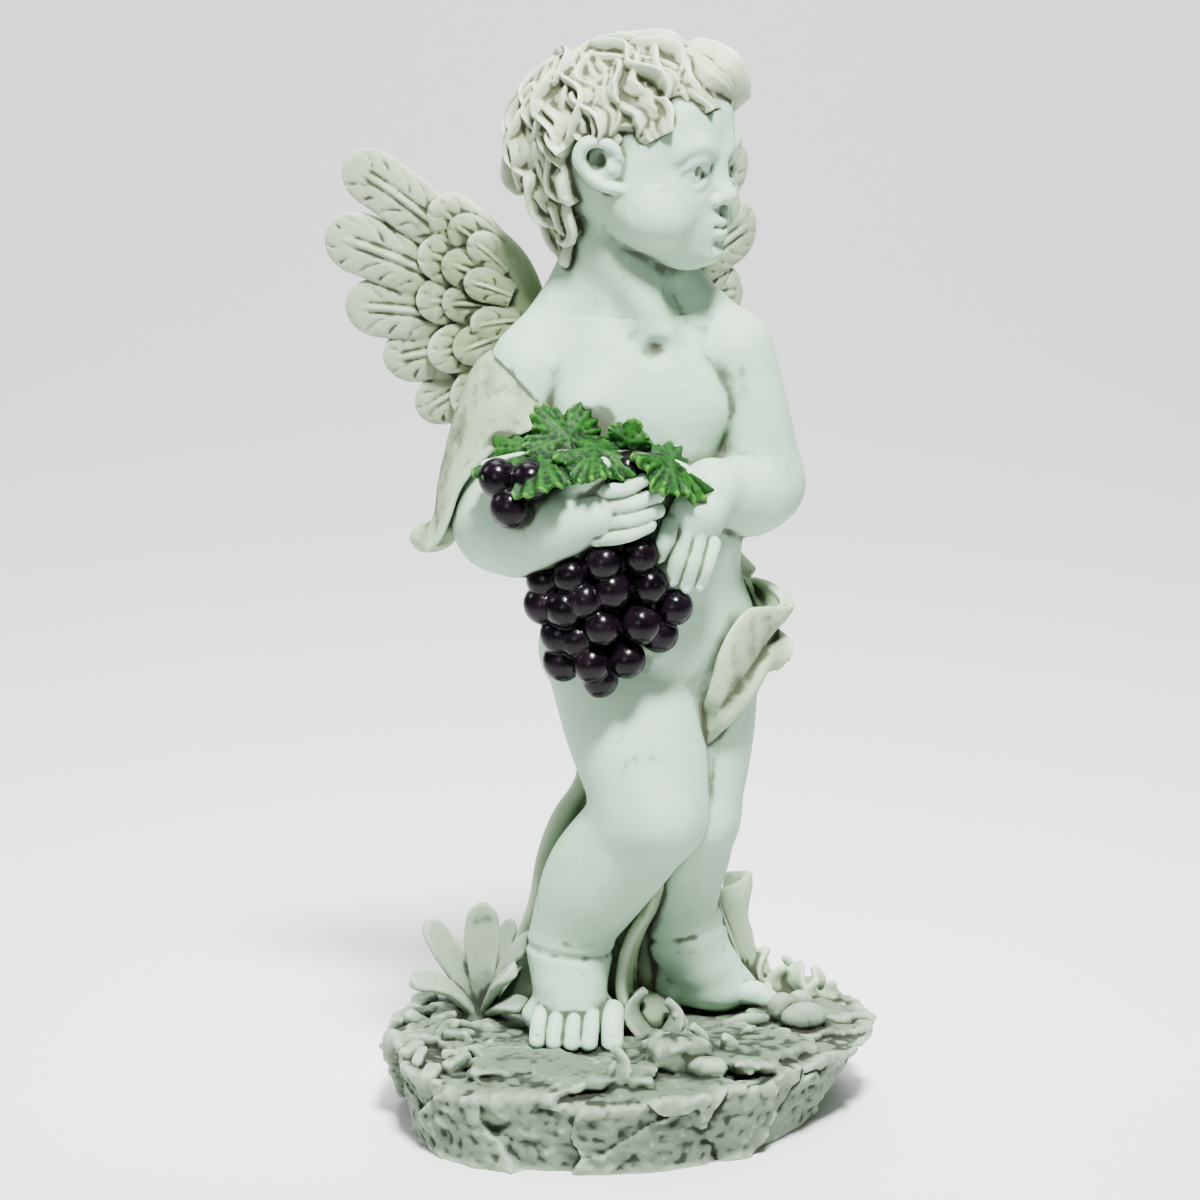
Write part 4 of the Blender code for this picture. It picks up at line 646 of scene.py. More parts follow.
def lock_height(rng, polar, around, bearing, first, length, hand, peak, wide=1.0):
    """Height of one wavy lock that starts at an angle from the crown and curls at its end."""
    t = (SCALP_REACH * (polar - first)) / length
    girth = SCALP_REACH * np.sin(np.clip(polar + 0.2, 0.3, 1.8))
    aside = ((around - bearing + math.pi) % (2 * math.pi) - math.pi) * girth
    phase = rng.uniform(-0.08, 0.08)
    wave = LOCK_SWING * np.sin(2 * math.pi * (t * length / LOCK_WAVE + phase))
    hook = 22 * wide * np.clip((t - 0.62) / 0.38, 0, 1) ** 1.7
    half = np.interp(t, [0, 0.35, 0.75, 1], [0.6, 1, 0.9, 0.2])
    half = wide * LOCK_WIDTH / 2 * rng.uniform(0.9, 1.15) * half
    q = (aside * hand - wave - hook) / half
    inner, outer = np.clip((1 + q) / 0.5, 0, 1), np.clip((1 - q) / 0.22, 0, 1)
    body = (0.4 + 0.6 * np.clip((q + 1) / 1.7, 0, 1) ** 1.6) * np.sqrt(inner * outer)
    ends = np.clip(t / 0.3, 0, 1) * np.clip((1 - t) / 0.1, 0, 1) ** 0.7
    rise = peak * (0.55 + 0.45 * np.sin(math.pi * np.clip(t, 0, 1) ** 1.6)) * body
    height = (rise + min(1, 0.04 * peak) * lock_relief(t, q)) * ends + 6 * ends - 6
    return np.where((np.abs(q) < 1) & (t > 0) & (t < 1), height, -20)


def lock_relief(t, q):
    """The hollow along a lock, the rise to its sharp side and fine strands. q runs across it."""
    rise = 2.5 * np.exp(-(((q - 0.66) / 0.16) ** 2)) - 3.5 * np.exp(-(((q - 0.15) / 0.34) ** 2))
    strands = 0.9 * np.cos(15 * q + 4 * np.sin(4 * t)) + 0.5 * np.cos(31 * q - 6 * t)
    return rise + strands * np.clip(1.2 - q * q, 0, 1)


def ribbon(c, rng, line, facing, tilt, size):
    """A strip of hair with a crest along it and a narrow rolled end."""
    t = np.linspace(0, 1, len(line))
    swell = smooth_line(np.array([[0.5], [0.85], [1.0], [0.95], [0.68], [0.36]]), len(line))[:, 0]
    end = np.sqrt(np.clip(1 - np.clip((t - 0.93) / 0.07, 0, 1) ** 2, 0.05, 1))
    width = size * LOCK_WIDTH / 2 * rng.uniform(0.88, 1.12) * swell * end
    height = size * LOCK_THICKNESS / 2 * (0.6 + 0.4 * end)
    c.add_shell(blade(line, width, height, facing, 0.06, tilt, lock_relief, 0.85, 60), 1.2)


def nape(c, rng):
    """Locks that hang from the back of the head down the neck."""
    for k, around in enumerate(np.radians(np.linspace(116, 236, 6))):
        start, facing = scalp(np.array([1.75, 2.1]), np.array([around] * 2), np.array([2.0, 4.0]))
        t = np.linspace(0, 1, 26)[:, None]
        hand = 1 if k % 2 else -1
        flat = unit(facing[0] * (1, 1, 0))
        side = np.cross((0, 0, 1), flat) * hand
        drop = (46, 52, 46, 50, 44, 34)[k]
        line = start[0] + (start[1] - start[0]) * np.minimum(t * 1.6, 1) - (0, 0, drop) * t**1.3
        line = line + side * 9 * np.sin(5.2 * t) * t - flat * (14 * t) + flat * 12 * t**4
        ribbon(c, rng, line, flat, hand * 30 * np.cos(6 * t[:, 0]), 0.85)


# Wings


def feather(c, place, start, tip, half, depth, lift, thick):
    """A feather in the plane of the wing. depth is how far it lies in front of that plane."""
    t = 1 - (1 - np.linspace(0, 1, 76)) ** 1.5
    start, tip = np.array(start, float), np.array(tip, float)
    length = np.linalg.norm(tip - start)
    cross = np.array([start[1] - tip[1], tip[0] - start[0]]) / length
    spots = np.outer(1 - t, start) + np.outer(t, tip)
    spots = spots + np.outer(np.sin(math.pi * t) * 0.03 * length, cross)
    line = np.array([place(a, b, depth + lift * q * q) for (a, b), q in zip(spots, t)])
    facing = place(0, 0, 1) - place(0, 0, 0)
    last = min(1.25 * half / length, 0.8)
    round_end = np.sqrt(np.clip(1 - np.clip((t - 1 + last) / last, 0, 1) ** 2.2, 0.02, 1))
    width = half * (0.72 + 0.28 * np.clip(t / 0.5, 0, 1)) * round_end
    height = thick / 2 * np.sqrt(round_end)
    relief = feather_relief(t, length, half)
    c.add_shell(blade(line, width, height, facing, -0.05, 0, relief, 0.55, 90), 0.8)


def feather_relief(along, length, half):
    """Two cut lines beside the shaft and a few slanting cuts in the vane on each side."""

    def relief(t, x):
        t = along[:, None]
        shaft = 1.4 * np.exp(-((x / 0.09) ** 2))
        shaft = shaft - 2.4 * np.exp(-(((np.abs(x) - 0.17) / 0.06) ** 2))
        shaft = shaft * np.clip((0.9 - t) * 6, 0, 1)
        run = t * length / 22 - np.abs(x) * half / 17 + 0.5 * np.sin(3 * x)
        mark = np.abs(run - np.round(run)) * 22
        even = 0.5 + 0.5 * np.sin(2.4 * np.round(run) + 2 * np.sign(x))
        cuts = np.exp(-((mark / 1.9) ** 2)) * np.clip((np.abs(x) - 0.2 - 0.3 * even) * 8, 0, 1)
        return shaft - 2.3 * cuts * np.clip((0.97 - np.abs(x)) * 9, 0, 1)

    return relief


def wing(c, root, yaw):
    """The wing plane runs from the root outwards (a), up (b) and towards its front face (n)."""
    out = np.array([math.cos(yaw), math.sin(yaw), 0])
    front = np.array([math.sin(yaw), -math.cos(yaw), 0])
    if front[1] > 0:
        front = -front

    def place(a, b, n):
        spot = np.asarray(root, float) + out * a + np.array([0, 0, b])
        return spot + front * (n - 0.0004 * a * a)

    bone = [(-10, -14, 17), (2, 34, 17), (18, 72, 15), (46, 102, 13), (78, 122, 10), (106, 132, 6)]
    c.add(limb([(*place(a, b, 0), r) for a, b, r in bone]))
    ax = np.stack([out, front, (0, 0, 1)], 1)
    c.add(egg(place(34, 24, 0), (40, 11, 66), ax), 14)
    c.add(egg(place(40, -24, 0), (34, 10, 56), ax), 14)
    tips = ((182, 170), (203, 98), (184, 26), (146, -28), (112, -80), (74, -108))
    roots = ((52, 74), (62, 44), (56, 14), (40, -10), (28, -34), (14, -52))
    for k in range(6):
        half = (28, 31, 30, 28, 25, 21)[k]
        feather(c, place, roots[k], tips[k], half, 4 - 2 * k, -6, FEATHER_THICKNESS + 1)
    for face in (1, -1):
        for row, (count, reach, half) in enumerate(COVERT_ROWS):
            for k in range(count):
                q = k / (count - 1)
                fan = math.radians(np.interp(q, [0, 0.4, 1], [40, 4, -62 - 6 * row]))
                hub = np.array([np.interp(q, [0, 0.35, 1], [20, 14, -12]), 66 - 96 * q])
                way = np.array([math.cos(fan), math.sin(fan)])
                tip = hub + way * reach
                depth = face * (5 + 4 * row + 2.5 * (k % 2))
                feather(c, place, hub, tip, half, depth, face * 4, FEATHER_THICKNESS - 2)


# Grapes and vine leaves

GRAPE_SPOTS = (
    (-84, -95, 480), (-60, -110, 487), (-28, -118, 501), (6, -112, 507), (-86, -95, 456),
    (-65, -108, 455), (-21, -115, 474), (15, -108, 477), (39, -98, 454), (-30, -115, 438),
    (7, -110, 440), (-70, -98, 427), (-68, -92, 400), (-40, -108, 401), (-6, -104, 404),
    (-32, -98, 384), (-128, -128, 584), (-97, -132, 582), (-116, -136, 557), (-6, -114, 588),
    (16, -110, 572), (-54, -104, 424), (-46, -114, 464), (24, -92, 428),
)


def grapes(c):
    for k, spot in enumerate(GRAPE_SPOTS):
        size = GRAPE_RADIUS * (1 + 0.05 * math.sin(5.3 * k))
        c.add(egg(spot, (size, size, size * 1.04), turn(roll=40 * math.sin(k))))
    c.add(egg((-26, -74, 450), (48, 26, 56)), 2)


def ledge(c):
    """The stem and the lump of plaster between the arm and the leaves."""
    c.add(limb([(-22, -92, 500, 18), (-6, -98, 560, 18), (-2, -100, 590, 14)]))
    stem = [(-138, -104, 590, 8), (-96, -108, 594, 13), (-50, -108, 594, 14), (0, -106, 592, 14)]
    c.add(limb(stem + [(40, -100, 584, 12), (72, -92, 566, 8)]), 6)


def vine_leaf(c, centre, tip, facing, size, droop, wave):
    """A leaf of five ruffled lobes with raised veins, which droops towards its rim."""
    centre = np.array(centre, float)
    fore = unit(np.array(tip, float) - centre)
    side = unit(np.cross(facing, fore))
    up = np.cross(fore, side)
    rad = np.linspace(0.02, 1, 40)[:, None]
    ang = np.linspace(-math.pi, math.pi, 260, endpoint=False)[None, :]
    lobe = np.abs(np.cos(ang * 2.4)) ** 0.6
    notch = 1 - 0.45 * np.clip((np.abs(ang) - 2.3) / 0.84, 0, 1)
    teeth = 1 + 0.06 * np.sin(24 * ang)
    rim = size * (0.62 + 0.38 * lobe) * notch * teeth
    x, y = rad * rim * np.cos(ang), rad * rim * np.sin(ang)
    off = np.abs(np.sin(ang * 2.4)) * rad * size / 2.4
    vein = 2.2 * np.exp(-((off / 2.2) ** 2)) * (1.1 - rad)
    run = (rad * size - 0.8 * off) / 8
    mark = np.abs(run - np.round(run)) * 8
    vein = vein + 1.3 * np.exp(-((mark / 1.5) ** 2)) * np.clip(off / 4, 0, 1)
    ruffle = 0.45 * wave * np.sin(24 * ang + 1) * rad**3 + wave * np.sin(5 * ang + 0.6) * rad**2
    h = vein + ruffle - droop * rad**2
    net = centre + x[..., None] * fore + y[..., None] * side + h[..., None] * up
    under = net - up * VINE_LEAF_THICKNESS * np.sqrt(np.clip(1 - rad**6, 0.2, 1))[..., None]
    c.add_shell(np.concatenate([net, under[::-1]]), 1)


# Each vine leaf's centre, tip, the way it faces, size, droop and ruffle
VINE_LEAVES = (
    ((-88, -112, 606), (-152, -124, 594), (0.06, -0.30, 1), 66, 9, 6),
    ((-62, -100, 618), (-90, -84, 648), (0.1, -0.85, 1), 44, 6, 4),
    ((-36, -116, 610), (4, -130, 600), (0.1, -0.4, 1), 46, 8, 5),
    ((-6, -108, 616), (2, -112, 640), (0.1, -1.4, 1), 22, 3, 2),
    ((34, -108, 598), (80, -104, 568), (0.55, -0.30, 1), 50, 9, 6),
)


def vine(c):
    for leaf in VINE_LEAVES:
        vine_leaf(c, *leaf)


# Drapery


def drapery(c):
    hip_cloth(c)
    sleeve(c)
    back_cloth(c)
    ground_cloth(c)


def hip_cloth(c):
    """The cloth round the loins, which opens at the left hip like two petals."""
    rim = [(68, -30, 337), (72, -48, 363), (85, -54, 413), (107, -40, 442), (137, -10, 441)]
    rim += [(157, 18, 438), (138, 42, 450), (116, 46, 456)]
    middle = [(74, -32, 331), (84, -50, 355), (102, -50, 396), (122, -30, 418), (141, -4, 419)]
    middle += [(149, 22, 420), (136, 48, 436), (118, 52, 446)]
    root = [(72, -26, 325), (88, -36, 345), (108, -32, 376), (124, -12, 394), (132, 12, 402)]
    root += [(134, 34, 408), (126, 50, 422), (116, 54, 436)]
    upper = [rim, middle, root]
    root = [(70, -26, 338), (82, -36, 352), (100, -32, 380), (116, -14, 394), (124, 8, 400)]
    root += [(126, 30, 406), (120, 48, 420)]
    middle = [(74, -34, 322), (92, -46, 336), (116, -42, 364), (134, -20, 388), (146, 4, 390)]
    middle += [(148, 24, 398), (132, 46, 412)]
    rim = [(72, -22, 309), (88, -34, 322), (110, -36, 348), (130, -20, 374), (149, 0, 374)]
    rim += [(160, 14, 384), (142, 40, 400)]
    lower = [root, middle, rim]

    def creases(u, v):
        return 5 * np.sin(math.pi * v) * (0.4 * np.sin(9 * v + 6 * u) * u - np.sin(math.pi * u))

    for petal in (upper, lower):
        c.add_shell(cloth(petal, CLOTH_THICKNESS, across=36, along=60, fold=creases), 4)
    # Gathered cloth over the thigh, and round the back of the hips
    gathers = [(62, -30, 306, 12), (86, -14, 352, 22), (108, 10, 386, 24), (104, 50, 410, 26)]
    c.add(limb(gathers), 10)

    def folds(u, v):
        return 6 * np.sin(11 * v + 4 * u + 2 * np.sin(5 * v)) * np.clip(4 * u, 0, 1)

    wrap = [
        [(112, 30, 448), (84, 96, 470), (20, 112, 470), (-50, 82, 452), (-84, 20, 430)],
        [(120, 34, 410), (94, 114, 420), (20, 132, 410), (-66, 96, 398), (-90, 20, 396)],
        [(112, 36, 380), (92, 118, 364), (10, 136, 340), (-70, 92, 340), (-82, 26, 366)],
    ]
    c.add_shell(cloth(wrap, CLOTH_THICKNESS + 4, across=40, along=70, fold=folds), 8)


def sleeve(c):
    """Cloth over the right upper arm, which flares out at the elbow."""
    rows = []
    for z, x, y, front, reach in (
        (688, -90, 4, -100, 34),
        (676, -96, 0, -100, 47),
        (656, -102, -6, -98, 54),
        (628, -110, -12, -88, 56),
        (600, -118, -16, -72, 56),
        (566, -126, -24, -48, 56),
        (534, -128, -28, -34, 58),
        (512, -127, -26, -26, 68),
        (498, -126, -22, -20, 80),
    ):
        bearing = np.radians(np.linspace(front, 96, 6))
        flare = 1 if z > 520 else np.cos(bearing * 0.9) ** 0.5
        arch = 44 * np.clip((z - 590) / 80, 0, 1) * np.clip(-bearing / 1.7, 0, 1) ** 2.5
        away = x - np.cos(bearing) * reach * flare
        rows.append(np.stack([away, y + np.sin(bearing) * reach * flare, z - arch], -1))
    c.add_shell(cloth(rows, CLOTH_THICKNESS, across=40, along=40), 4)
    c.add(limb([(-172, -4, 522, 13), (-190, -2, 506, 15), (-202, 2, 503, 15)]), 8)
    sash = [(-112, 40, 652), (-70, 76, 606), (-4, 94, 540), (58, 96, 484), (104, 62, 440)]
    line = smooth_line(sash, 30)

    def folds(t, x):
        return 4 * np.cos(9.4 * x + 2 * t) - 3

    c.add_shell(blade(line, 30.0, CLOTH_THICKNESS, line - (10, 10, 560), relief=folds), 5)


def back_cloth(c):
    """Cloth that hangs behind the legs from the hips to the base."""

    def folds(u, v):
        return (3 + 6 * u) * np.sin(19 * v + 2 * u)

    rows = []
    for z, left, right, mid in (
        (372, -58, 84, 104), (300, -56, 84, 98), (252, -58, 78, 92), (214, -82, 72, 92),
        (170, -98, 78, 98), (116, -108, 92, 108), (60, -128, 112, 124), (0, -150, 126, 136),
        (-14, -150, 126, 138),
    ):
        t = np.linspace(0, 1, 6)
        x = left + (right - left) * t
        y = mid - 34 * np.abs(1 - 2 * t) ** 1.6
        rows.append(np.stack([x, y, z + 0 * t], -1))
    c.add_shell(cloth(rows, CLOTH_THICKNESS + 2, across=40, along=40, fold=folds), 4)
    # Filling between the legs and the cloth, and the pointed tail between the ankles
    filling = [(10, 62, 350, 44), (6, 62, 250, 36), (4, 78, 150, 34), (6, 92, 60, 36)]
    c.add(limb(filling + [(6, 96, -8, 40)]), 6)
    tail = [(27, -4, 172), (23, 2, 148), (12, 6, 122), (-1, 8, 98), (-10, 8, 70)]
    tail += [(-12, 4, 42), (-6, -2, 16), (0, -4, -8)]
    shift = ((0, 0), (2, 9), (8, 26), (12, 50))
    rows = [[(x + a, y + b, z) for x, y, z in tail] for a, b in shift]
    c.add_shell(cloth(rows, CLOTH_THICKNESS), 3)
    c.add(egg((10, 30, 10), (30, 26, 26)), 10)
    column = [
        [(84, 84, 128), (84, 84, 90), (88, 84, 50), (92, 84, -8)],
        [(100, 100, 126), (100, 100, 90), (106, 104, 50), (112, 108, -8)],
        [(120, 112, 138), (112, 112, 96), (118, 116, 66), (130, 122, -8)],
        [(96, 134, 132), (92, 132, 96), (92, 134, 50), (96, 138, -8)],
    ]
    c.add_shell(cloth(column, CLOTH_THICKNESS + 2), 4)


def ground_cloth(c):
    """Curled leaves on the base behind the left foot, smaller towards the right."""
    for x, y, size, yaw in (
        (104, 130, 66, 165), (124, 110, 46, 115), (143, 128, 50, 205), (158, 104, 38, 140),
        (176, 118, 40, 230), (192, 98, 28, 165), (120, 150, 44, 60), (154, 150, 36, 20),
        (184, 138, 30, 320), (206, 112, 22, 100), (140, 98, 26, 250),
    ):
        curl(c, x, y, size, yaw)
    c.add(limb([(92, 126, 12, 24), (140, 128, 4, 20), (190, 112, -6, 16)]), 6)


# Base and what grows on it


def base_radius(angle, shares):
    """Radius of the base in each direction (radians), from a table of shares."""
    bearings, sizes = zip(*shares)
    return BASE_REACH * np.interp(np.degrees(angle), bearings, sizes, period=360)


def cells(u, v, count, size, seed, turn_length=0.0):
    """Splits a plane into uneven stones with sloping faces: how high each spot's face is there
    (about 0 to 1) and how far the spot is from the crack beside it. With turn_length, u runs
    round a ring of that length."""
    rng = np.random.default_rng(seed)
    near, second, height = 1e6, 1e6, 0.0
    for _ in range(count):
        a, b, h = rng.uniform(-size[0], size[0]), rng.uniform(-size[1], size[1]), rng.uniform(0, 1)
        lean = rng.uniform(-0.6, 0.6, 2) / 50
        du, dv = u - a, v - b
        if turn_length:
            du = du - turn_length * np.round(du / turn_length)
        d = np.sqrt(du * du + 2.2 * dv * dv)
        closer = d < near
        second = np.where(closer, near, np.minimum(second, d))
        height = np.where(closer, h + lean[0] * du + lean[1] * dv, height)
        near = np.where(closer, d, near)
    return height, second - near


def base(c):
    round_length = 2 * math.pi * BASE_REACH

    def distance(x, y, z):
        angle = np.arctan2(y, x)
        down = np.clip(z / FLOOR, 0, 1.3)
        rim = base_radius(angle, RIM) * (1 - down) + base_radius(angle, FOOT) * down
        wobble = 16 * grain(x, y, z, 34, 7) + 6 * grain(x, y, z, 15, 10)
        open_joint = np.clip(2 * grain(x, y, z, 44, 11), 0, 1)
        strata = np.abs((z + 0.6 * wobble) / 17 % 1 - 0.5)
        across = angle * BASE_REACH + wobble
        block_height, crack = cells(across, z + wobble, 40, (round_length / 2, 60), 8, round_length)
        side = (np.sqrt(x * x + y * y) - rim + 5) * 0.9 - 9 * block_height + 3 * strata
        side = side + 6 * open_joint * np.exp(-((crack / 4) ** 2))
        level = wobble[..., :1]
        flag_height, joint = cells(x + level, y + level, 34, (BASE_REACH, BASE_REACH), 9)
        top = z + 4 - 8 * flag_height + 2 * grain(x, y, 0 * z, 30, 5)
        top = top + 4 * open_joint[..., :1] * np.exp(-((joint / 4) ** 2))
        rough = ROCK_ROUGHNESS * (grain(x, y, z, 13, 4) + 0.5 * grain(x, y, z, 6, 6))
        return -soft_min(-side, -top, 7) + rough

    reach = 1.15 * BASE_REACH
    c.add(((-reach, -reach, FLOOR - 24), (reach, reach, 14), distance))
    slabs(c)
    rubble(c)
    for (x, y, z), radii in (
        ((151, 44, 13), (15, 14, 17)),
        ((170, 66, 12), (14, 13, 14)),
        ((172, 22, 11), (24, 18, 15)),
    ):
        c.add(egg((x * BASE_SPREAD, y * BASE_SPREAD, z), radii, turn(yaw=20)), 1)
    c.add(stone((46, -104, 12), (35, 22, 19), turn(yaw=14, roll=12), 3, 21, 2.6), 2)
    c.add(stone((72, -128, 4), (20, 13, 11), turn(yaw=-20), 2, 22, 2.6), 2)
    c.add(limb([(96, 12, 5, 7), (112, 22, 7, 7.5), (132, 32, 6, 6)]), 2)


def slabs(c):
    """Thin flat stones that lie on the top."""
    for x, y, z, a, b, h, yaw, seed in (
        (-104, -112, 3, 54, 28, 7, 24, 35), (-34, -146, 4, 50, 30, 6, 6, 36),
        (112, -66, 5, 52, 58, 8, -36, 37), (60, -60, 4, 44, 30, 6, 10, 38),
        (160, 84, 2, 50, 44, 8, 30, 40), (-60, 160, 2, 60, 34, 8, 10, 41),
    ):
        spot = (x * BASE_SPREAD, y * BASE_SPREAD, z)
        c.add(stone(spot, (a, b, h), turn(yaw=yaw), 0.8 * ROCK_ROUGHNESS, seed), 2)


def rubble(c):
    """Broken bark and grit at the left, and a few shell-shaped curls."""
    rng = np.random.default_rng(5)
    for k in range(40):
        bearing, far = math.radians(rng.uniform(150, 215)), rng.uniform(0.62, 0.96)
        rim = float(base_radius(bearing, RIM))
        spot = (rim * far * math.cos(bearing), rim * far * math.sin(bearing), rng.uniform(-2, 7))
        size = (rng.uniform(10, 22), rng.uniform(5, 9), rng.uniform(4, 8))
        axes = turn(rng.uniform(0, 180), 0, rng.uniform(-30, 30))
        c.add(stone(spot, size, axes, 1.5, 50 + k), 1.5)
    for x, y, size, yaw in (
        (-22, -162, 36, 10), (-8, -160, 26, 150), (16, -2, 44, 170), (32, 0, 34, 20),
        (56, -70, 30, 30), (88, -98, 28, 60), (42, -6, 24, 60), (118, -40, 20, 140),
    ):
        curl(c, x, y, size, yaw)


def curl(c, x, y, size, yaw):
    """A small leaf that curls up from the ground."""
    ax = turn(yaw=yaw)
    t = np.linspace(0, 1, 12)
    lean = np.stack([size * 0.5 * np.sin(2.6 * t) - size * 0.2, 0 * t, size * 1.15 * t - 4], -1)
    line = np.array([x, y, 0.0]) + lean @ ax.T
    width = size * 0.42 * np.sin(math.pi * np.clip(0.15 + 0.8 * t, 0, 1)) ** 0.7
    c.add_shell(blade(line, width, PETAL_THICKNESS * 0.45, ax[:, 0], 0.5), 1.5)


def plants(c):
    """The rosette of fleshy leaves beside the right foot."""
    root = np.array([-152, 58, -6.0]) * (BASE_SPREAD, BASE_SPREAD, 1)
    for (x, y, z), half, bow in (
        ((-207, 66, 99), 16, 6), ((-150, 70, 117), 19, 4), ((-121, 96, 92), 12, 2),
        ((-88, 22, 95), 13, 22), ((-118, 12, 60), 17, 12), ((-222, 22, 46), 15, 16),
        ((-106, 2, 26), 14, 10), ((-190, 118, 64), 16, 8), ((-112, 126, 56), 16, 8),
    ):
        tip = np.array([x * BASE_SPREAD, y * BASE_SPREAD, z])
        t = np.linspace(0, 1, 24)[:, None]
        line = root + (tip - root) * t + np.array([0, 0, bow]) * np.sin(math.pi * t)
        way = unit(tip - root)
        facing = unit(np.cross(way, np.cross((0, 0, 1), way)) + np.array([0, -0.5, 0]))
        t = t[:, 0]
        end = np.sqrt(np.clip(1 - np.clip((t - 0.84) / 0.16, 0, 1) ** 2, 0.03, 1))
        width = half * np.interp(t, [0, 0.3, 0.65, 1], [0.3, 0.62, 1, 0.8]) * end
        thick = PETAL_THICKNESS * (0.45 + 0.15 * end)
        c.add_shell(blade(line, width, thick, facing, 0.16, flat=0.8), 1)
    c.add(egg(root, (20, 18, 14)), 5)


# Pieces


def figure():
    """The naked child, from which the head and the body are cut."""
    c = body(BODY_VOXEL * COARSER)
    skull = Clay((-140, -140, 720), (150, 170, 1010), c.voxel)
    head(skull)
    whole = Clay((-190, -190, -30), (190, 190, 1010), c.voxel)
    whole.merge(c)
    whole.merge(skull, 10)
    stem = Clay((-190, -190, 480), (190, 0, 640), c.voxel)
    ledge(stem)
    whole.merge(stem, 6)
    return whole


def cut_at(clay, height, side):
    """A copy of the clay above (side 1) or below (side -1) a height."""
    part = Clay((0, 0, 0), (0, 0, 0), clay.voxel)
    part.first = clay.first
    z = (np.arange(clay.field.shape[2]) + clay.first[2]) * clay.voxel
    part.field = np.maximum(clay.field, (side * (height - z)).astype(np.float32))
    return part


def sculpt(voxel, low, high, *steps):
    c = Clay(low, high, voxel * COARSER)
    for step in steps:
        step(c)
    return c


def flat_bottom(c):
    z = (np.arange(c.field.shape[2]) + c.first[2]) * c.voxel
    c.field = np.maximum(c.field, (FLOOR - z).astype(np.float32))


def even(c):
    """Evens out rims that are only a few voxels thick."""
    c.soften(3)


def wing_right(c):
    wing(c, *WINGS["right"])


def wing_left(c):
    wing(c, *WINGS["left"])


def all_clay():
    """Each piece's name, its clay, how many triangles it may have and its finish."""
    wide = BLOCK_REACH
    child = figure()
    boxes = {
        hair: ((-170, -160, 690), (180, 190, 1030)),
        wing_right: ((-330, 0, 560), (-60, 120, 890)),
        wing_left: ((-60, 40, 560), (200, 300, 890)),
        drapery: ((-wide, -120, -30), (wide, 180, 700)),
        grapes: ((-160, -170, 350), (80, -30, 640)),
        vine: ((-190, -200, 520), (150, -40, 700)),
        base: ((-wide, -wide, FLOOR - 12), (wide, wide, 60)),
        plants: ((-wide, -100, -40), (0, 180, 160)),
    }

    def made(voxel, form, *steps):
        return sculpt(voxel, *boxes[form], form, *steps)

    return [
        ("child_body", cut_at(child, BODY_TOP, -1), 180000, "skin"),
        ("child_head", cut_at(child, HEAD_BOTTOM, 1), 100000, "skin"),
        ("hair", made(HAIR_VOXEL, hair), 180000, "hair"),
        ("wing_right", made(WING_VOXEL, wing_right), 85000, "wing"),
        ("wing_left", made(WING_VOXEL, wing_left), 80000, "wing"),
        ("drapery", made(CLOTH_VOXEL, drapery, even), 100000, "cloth"),
        ("grapes", made(FRUIT_VOXEL, grapes), 50000, "grape"),
        ("vine_leaves", made(FRUIT_VOXEL, vine), 40000, "leaf"),
        ("base", made(BASE_VOXEL, base, flat_bottom), 150000, "base"),
        ("plants", made(PLANT_VOXEL, plants), 30000, "base"),
    ]


# How enclosed each spot is, which sets where the wash, the painted shade and the painted highlights
# go


class Crevices:
    """How enclosed each spot of the surface is, from the share of solid within reach of it."""

    def __init__(self, clays):
        wide = BLOCK_REACH
        low, high = (-340, -wide, FLOOR - 40), (wide, max(300, wide), 1040)
        block = Clay(low, high, CREVICE_VOXEL * COARSER)
        for clay in clays:
            self.lay(block, clay)
        self.first, self.voxel = block.first, block.voxel
        solid = np.clip(0.5 - block.field / block.voxel, 0, 1)
        self.shares = {
            label: self.blur(self.blur(solid, reach), reach)
            for label, reach in CREVICE_REACHES.items()
        }

    @staticmethod
    def lay(block, clay):
        """Lowers the block's field to the clay's, read at the nearest voxel."""
        spans, picks = [], []
        for axis in range(3):
            at = (np.arange(block.field.shape[axis]) + block.first[axis]) * block.voxel
            index = np.round(at / clay.voxel).astype(int) - clay.first[axis]
            good = np.flatnonzero((index >= 0) & (index < clay.field.shape[axis]))
            spans.append(slice(good[0], good[-1] + 1))
            picks.append(index[good])
        part = block.field[tuple(spans)]
        np.minimum(part, clay.field[np.ix_(*picks)], out=part)

    def blur(self, values, reach):
        steps = max(1, round(reach / self.voxel))
        for axis in range(3):
            pad = [(0, 0)] * 3
            pad[axis] = (steps + 1, steps)
            total = np.cumsum(np.pad(values, pad, mode="edge"), axis=axis, dtype=np.float32)
            total = np.moveaxis(total, axis, 0)
            size = 2 * steps + 1
            values = np.moveaxis((total[size:] - total[:-size]) / size, 0, axis)
        return values

    def read(self, label, points):
        """The share of solid at each point, from the eight voxels round it."""
        values = self.shares[label]
        at = points / self.voxel - self.first
        at = np.clip(at, 0, np.array(values.shape) - 1.001)
        low = at.astype(int)
        part = at - low
        total = 0
        for corner in range(8):
            step = np.array([corner >> axis & 1 for axis in range(3)])
            weight = np.prod(np.where(step, part, 1 - part), axis=1)
            total = total + weight * values[tuple((low + step).T)]
        return total


# Meshes


def mesh_from(name, points, quads):
    """Mesh in metres with the underside of the base at z = 0."""
    points = np.asarray(points, np.float32) * UNIT
    points[:, 2] += BASE_THICKNESS
    mesh = bpy.data.meshes.new(name)
    mesh.vertices.add(len(points))
    mesh.vertices.foreach_set("co", points.ravel())
    mesh.loops.add(quads.size)
    mesh.loops.foreach_set("vertex_index", quads[:, ::-1].ravel().astype(np.int32))
    mesh.polygons.add(len(quads))
    mesh.polygons.foreach_set("loop_start", np.arange(0, quads.size, 4, dtype=np.int32))
    mesh.update(calc_edges=True)
    mesh.validate()
    return mesh


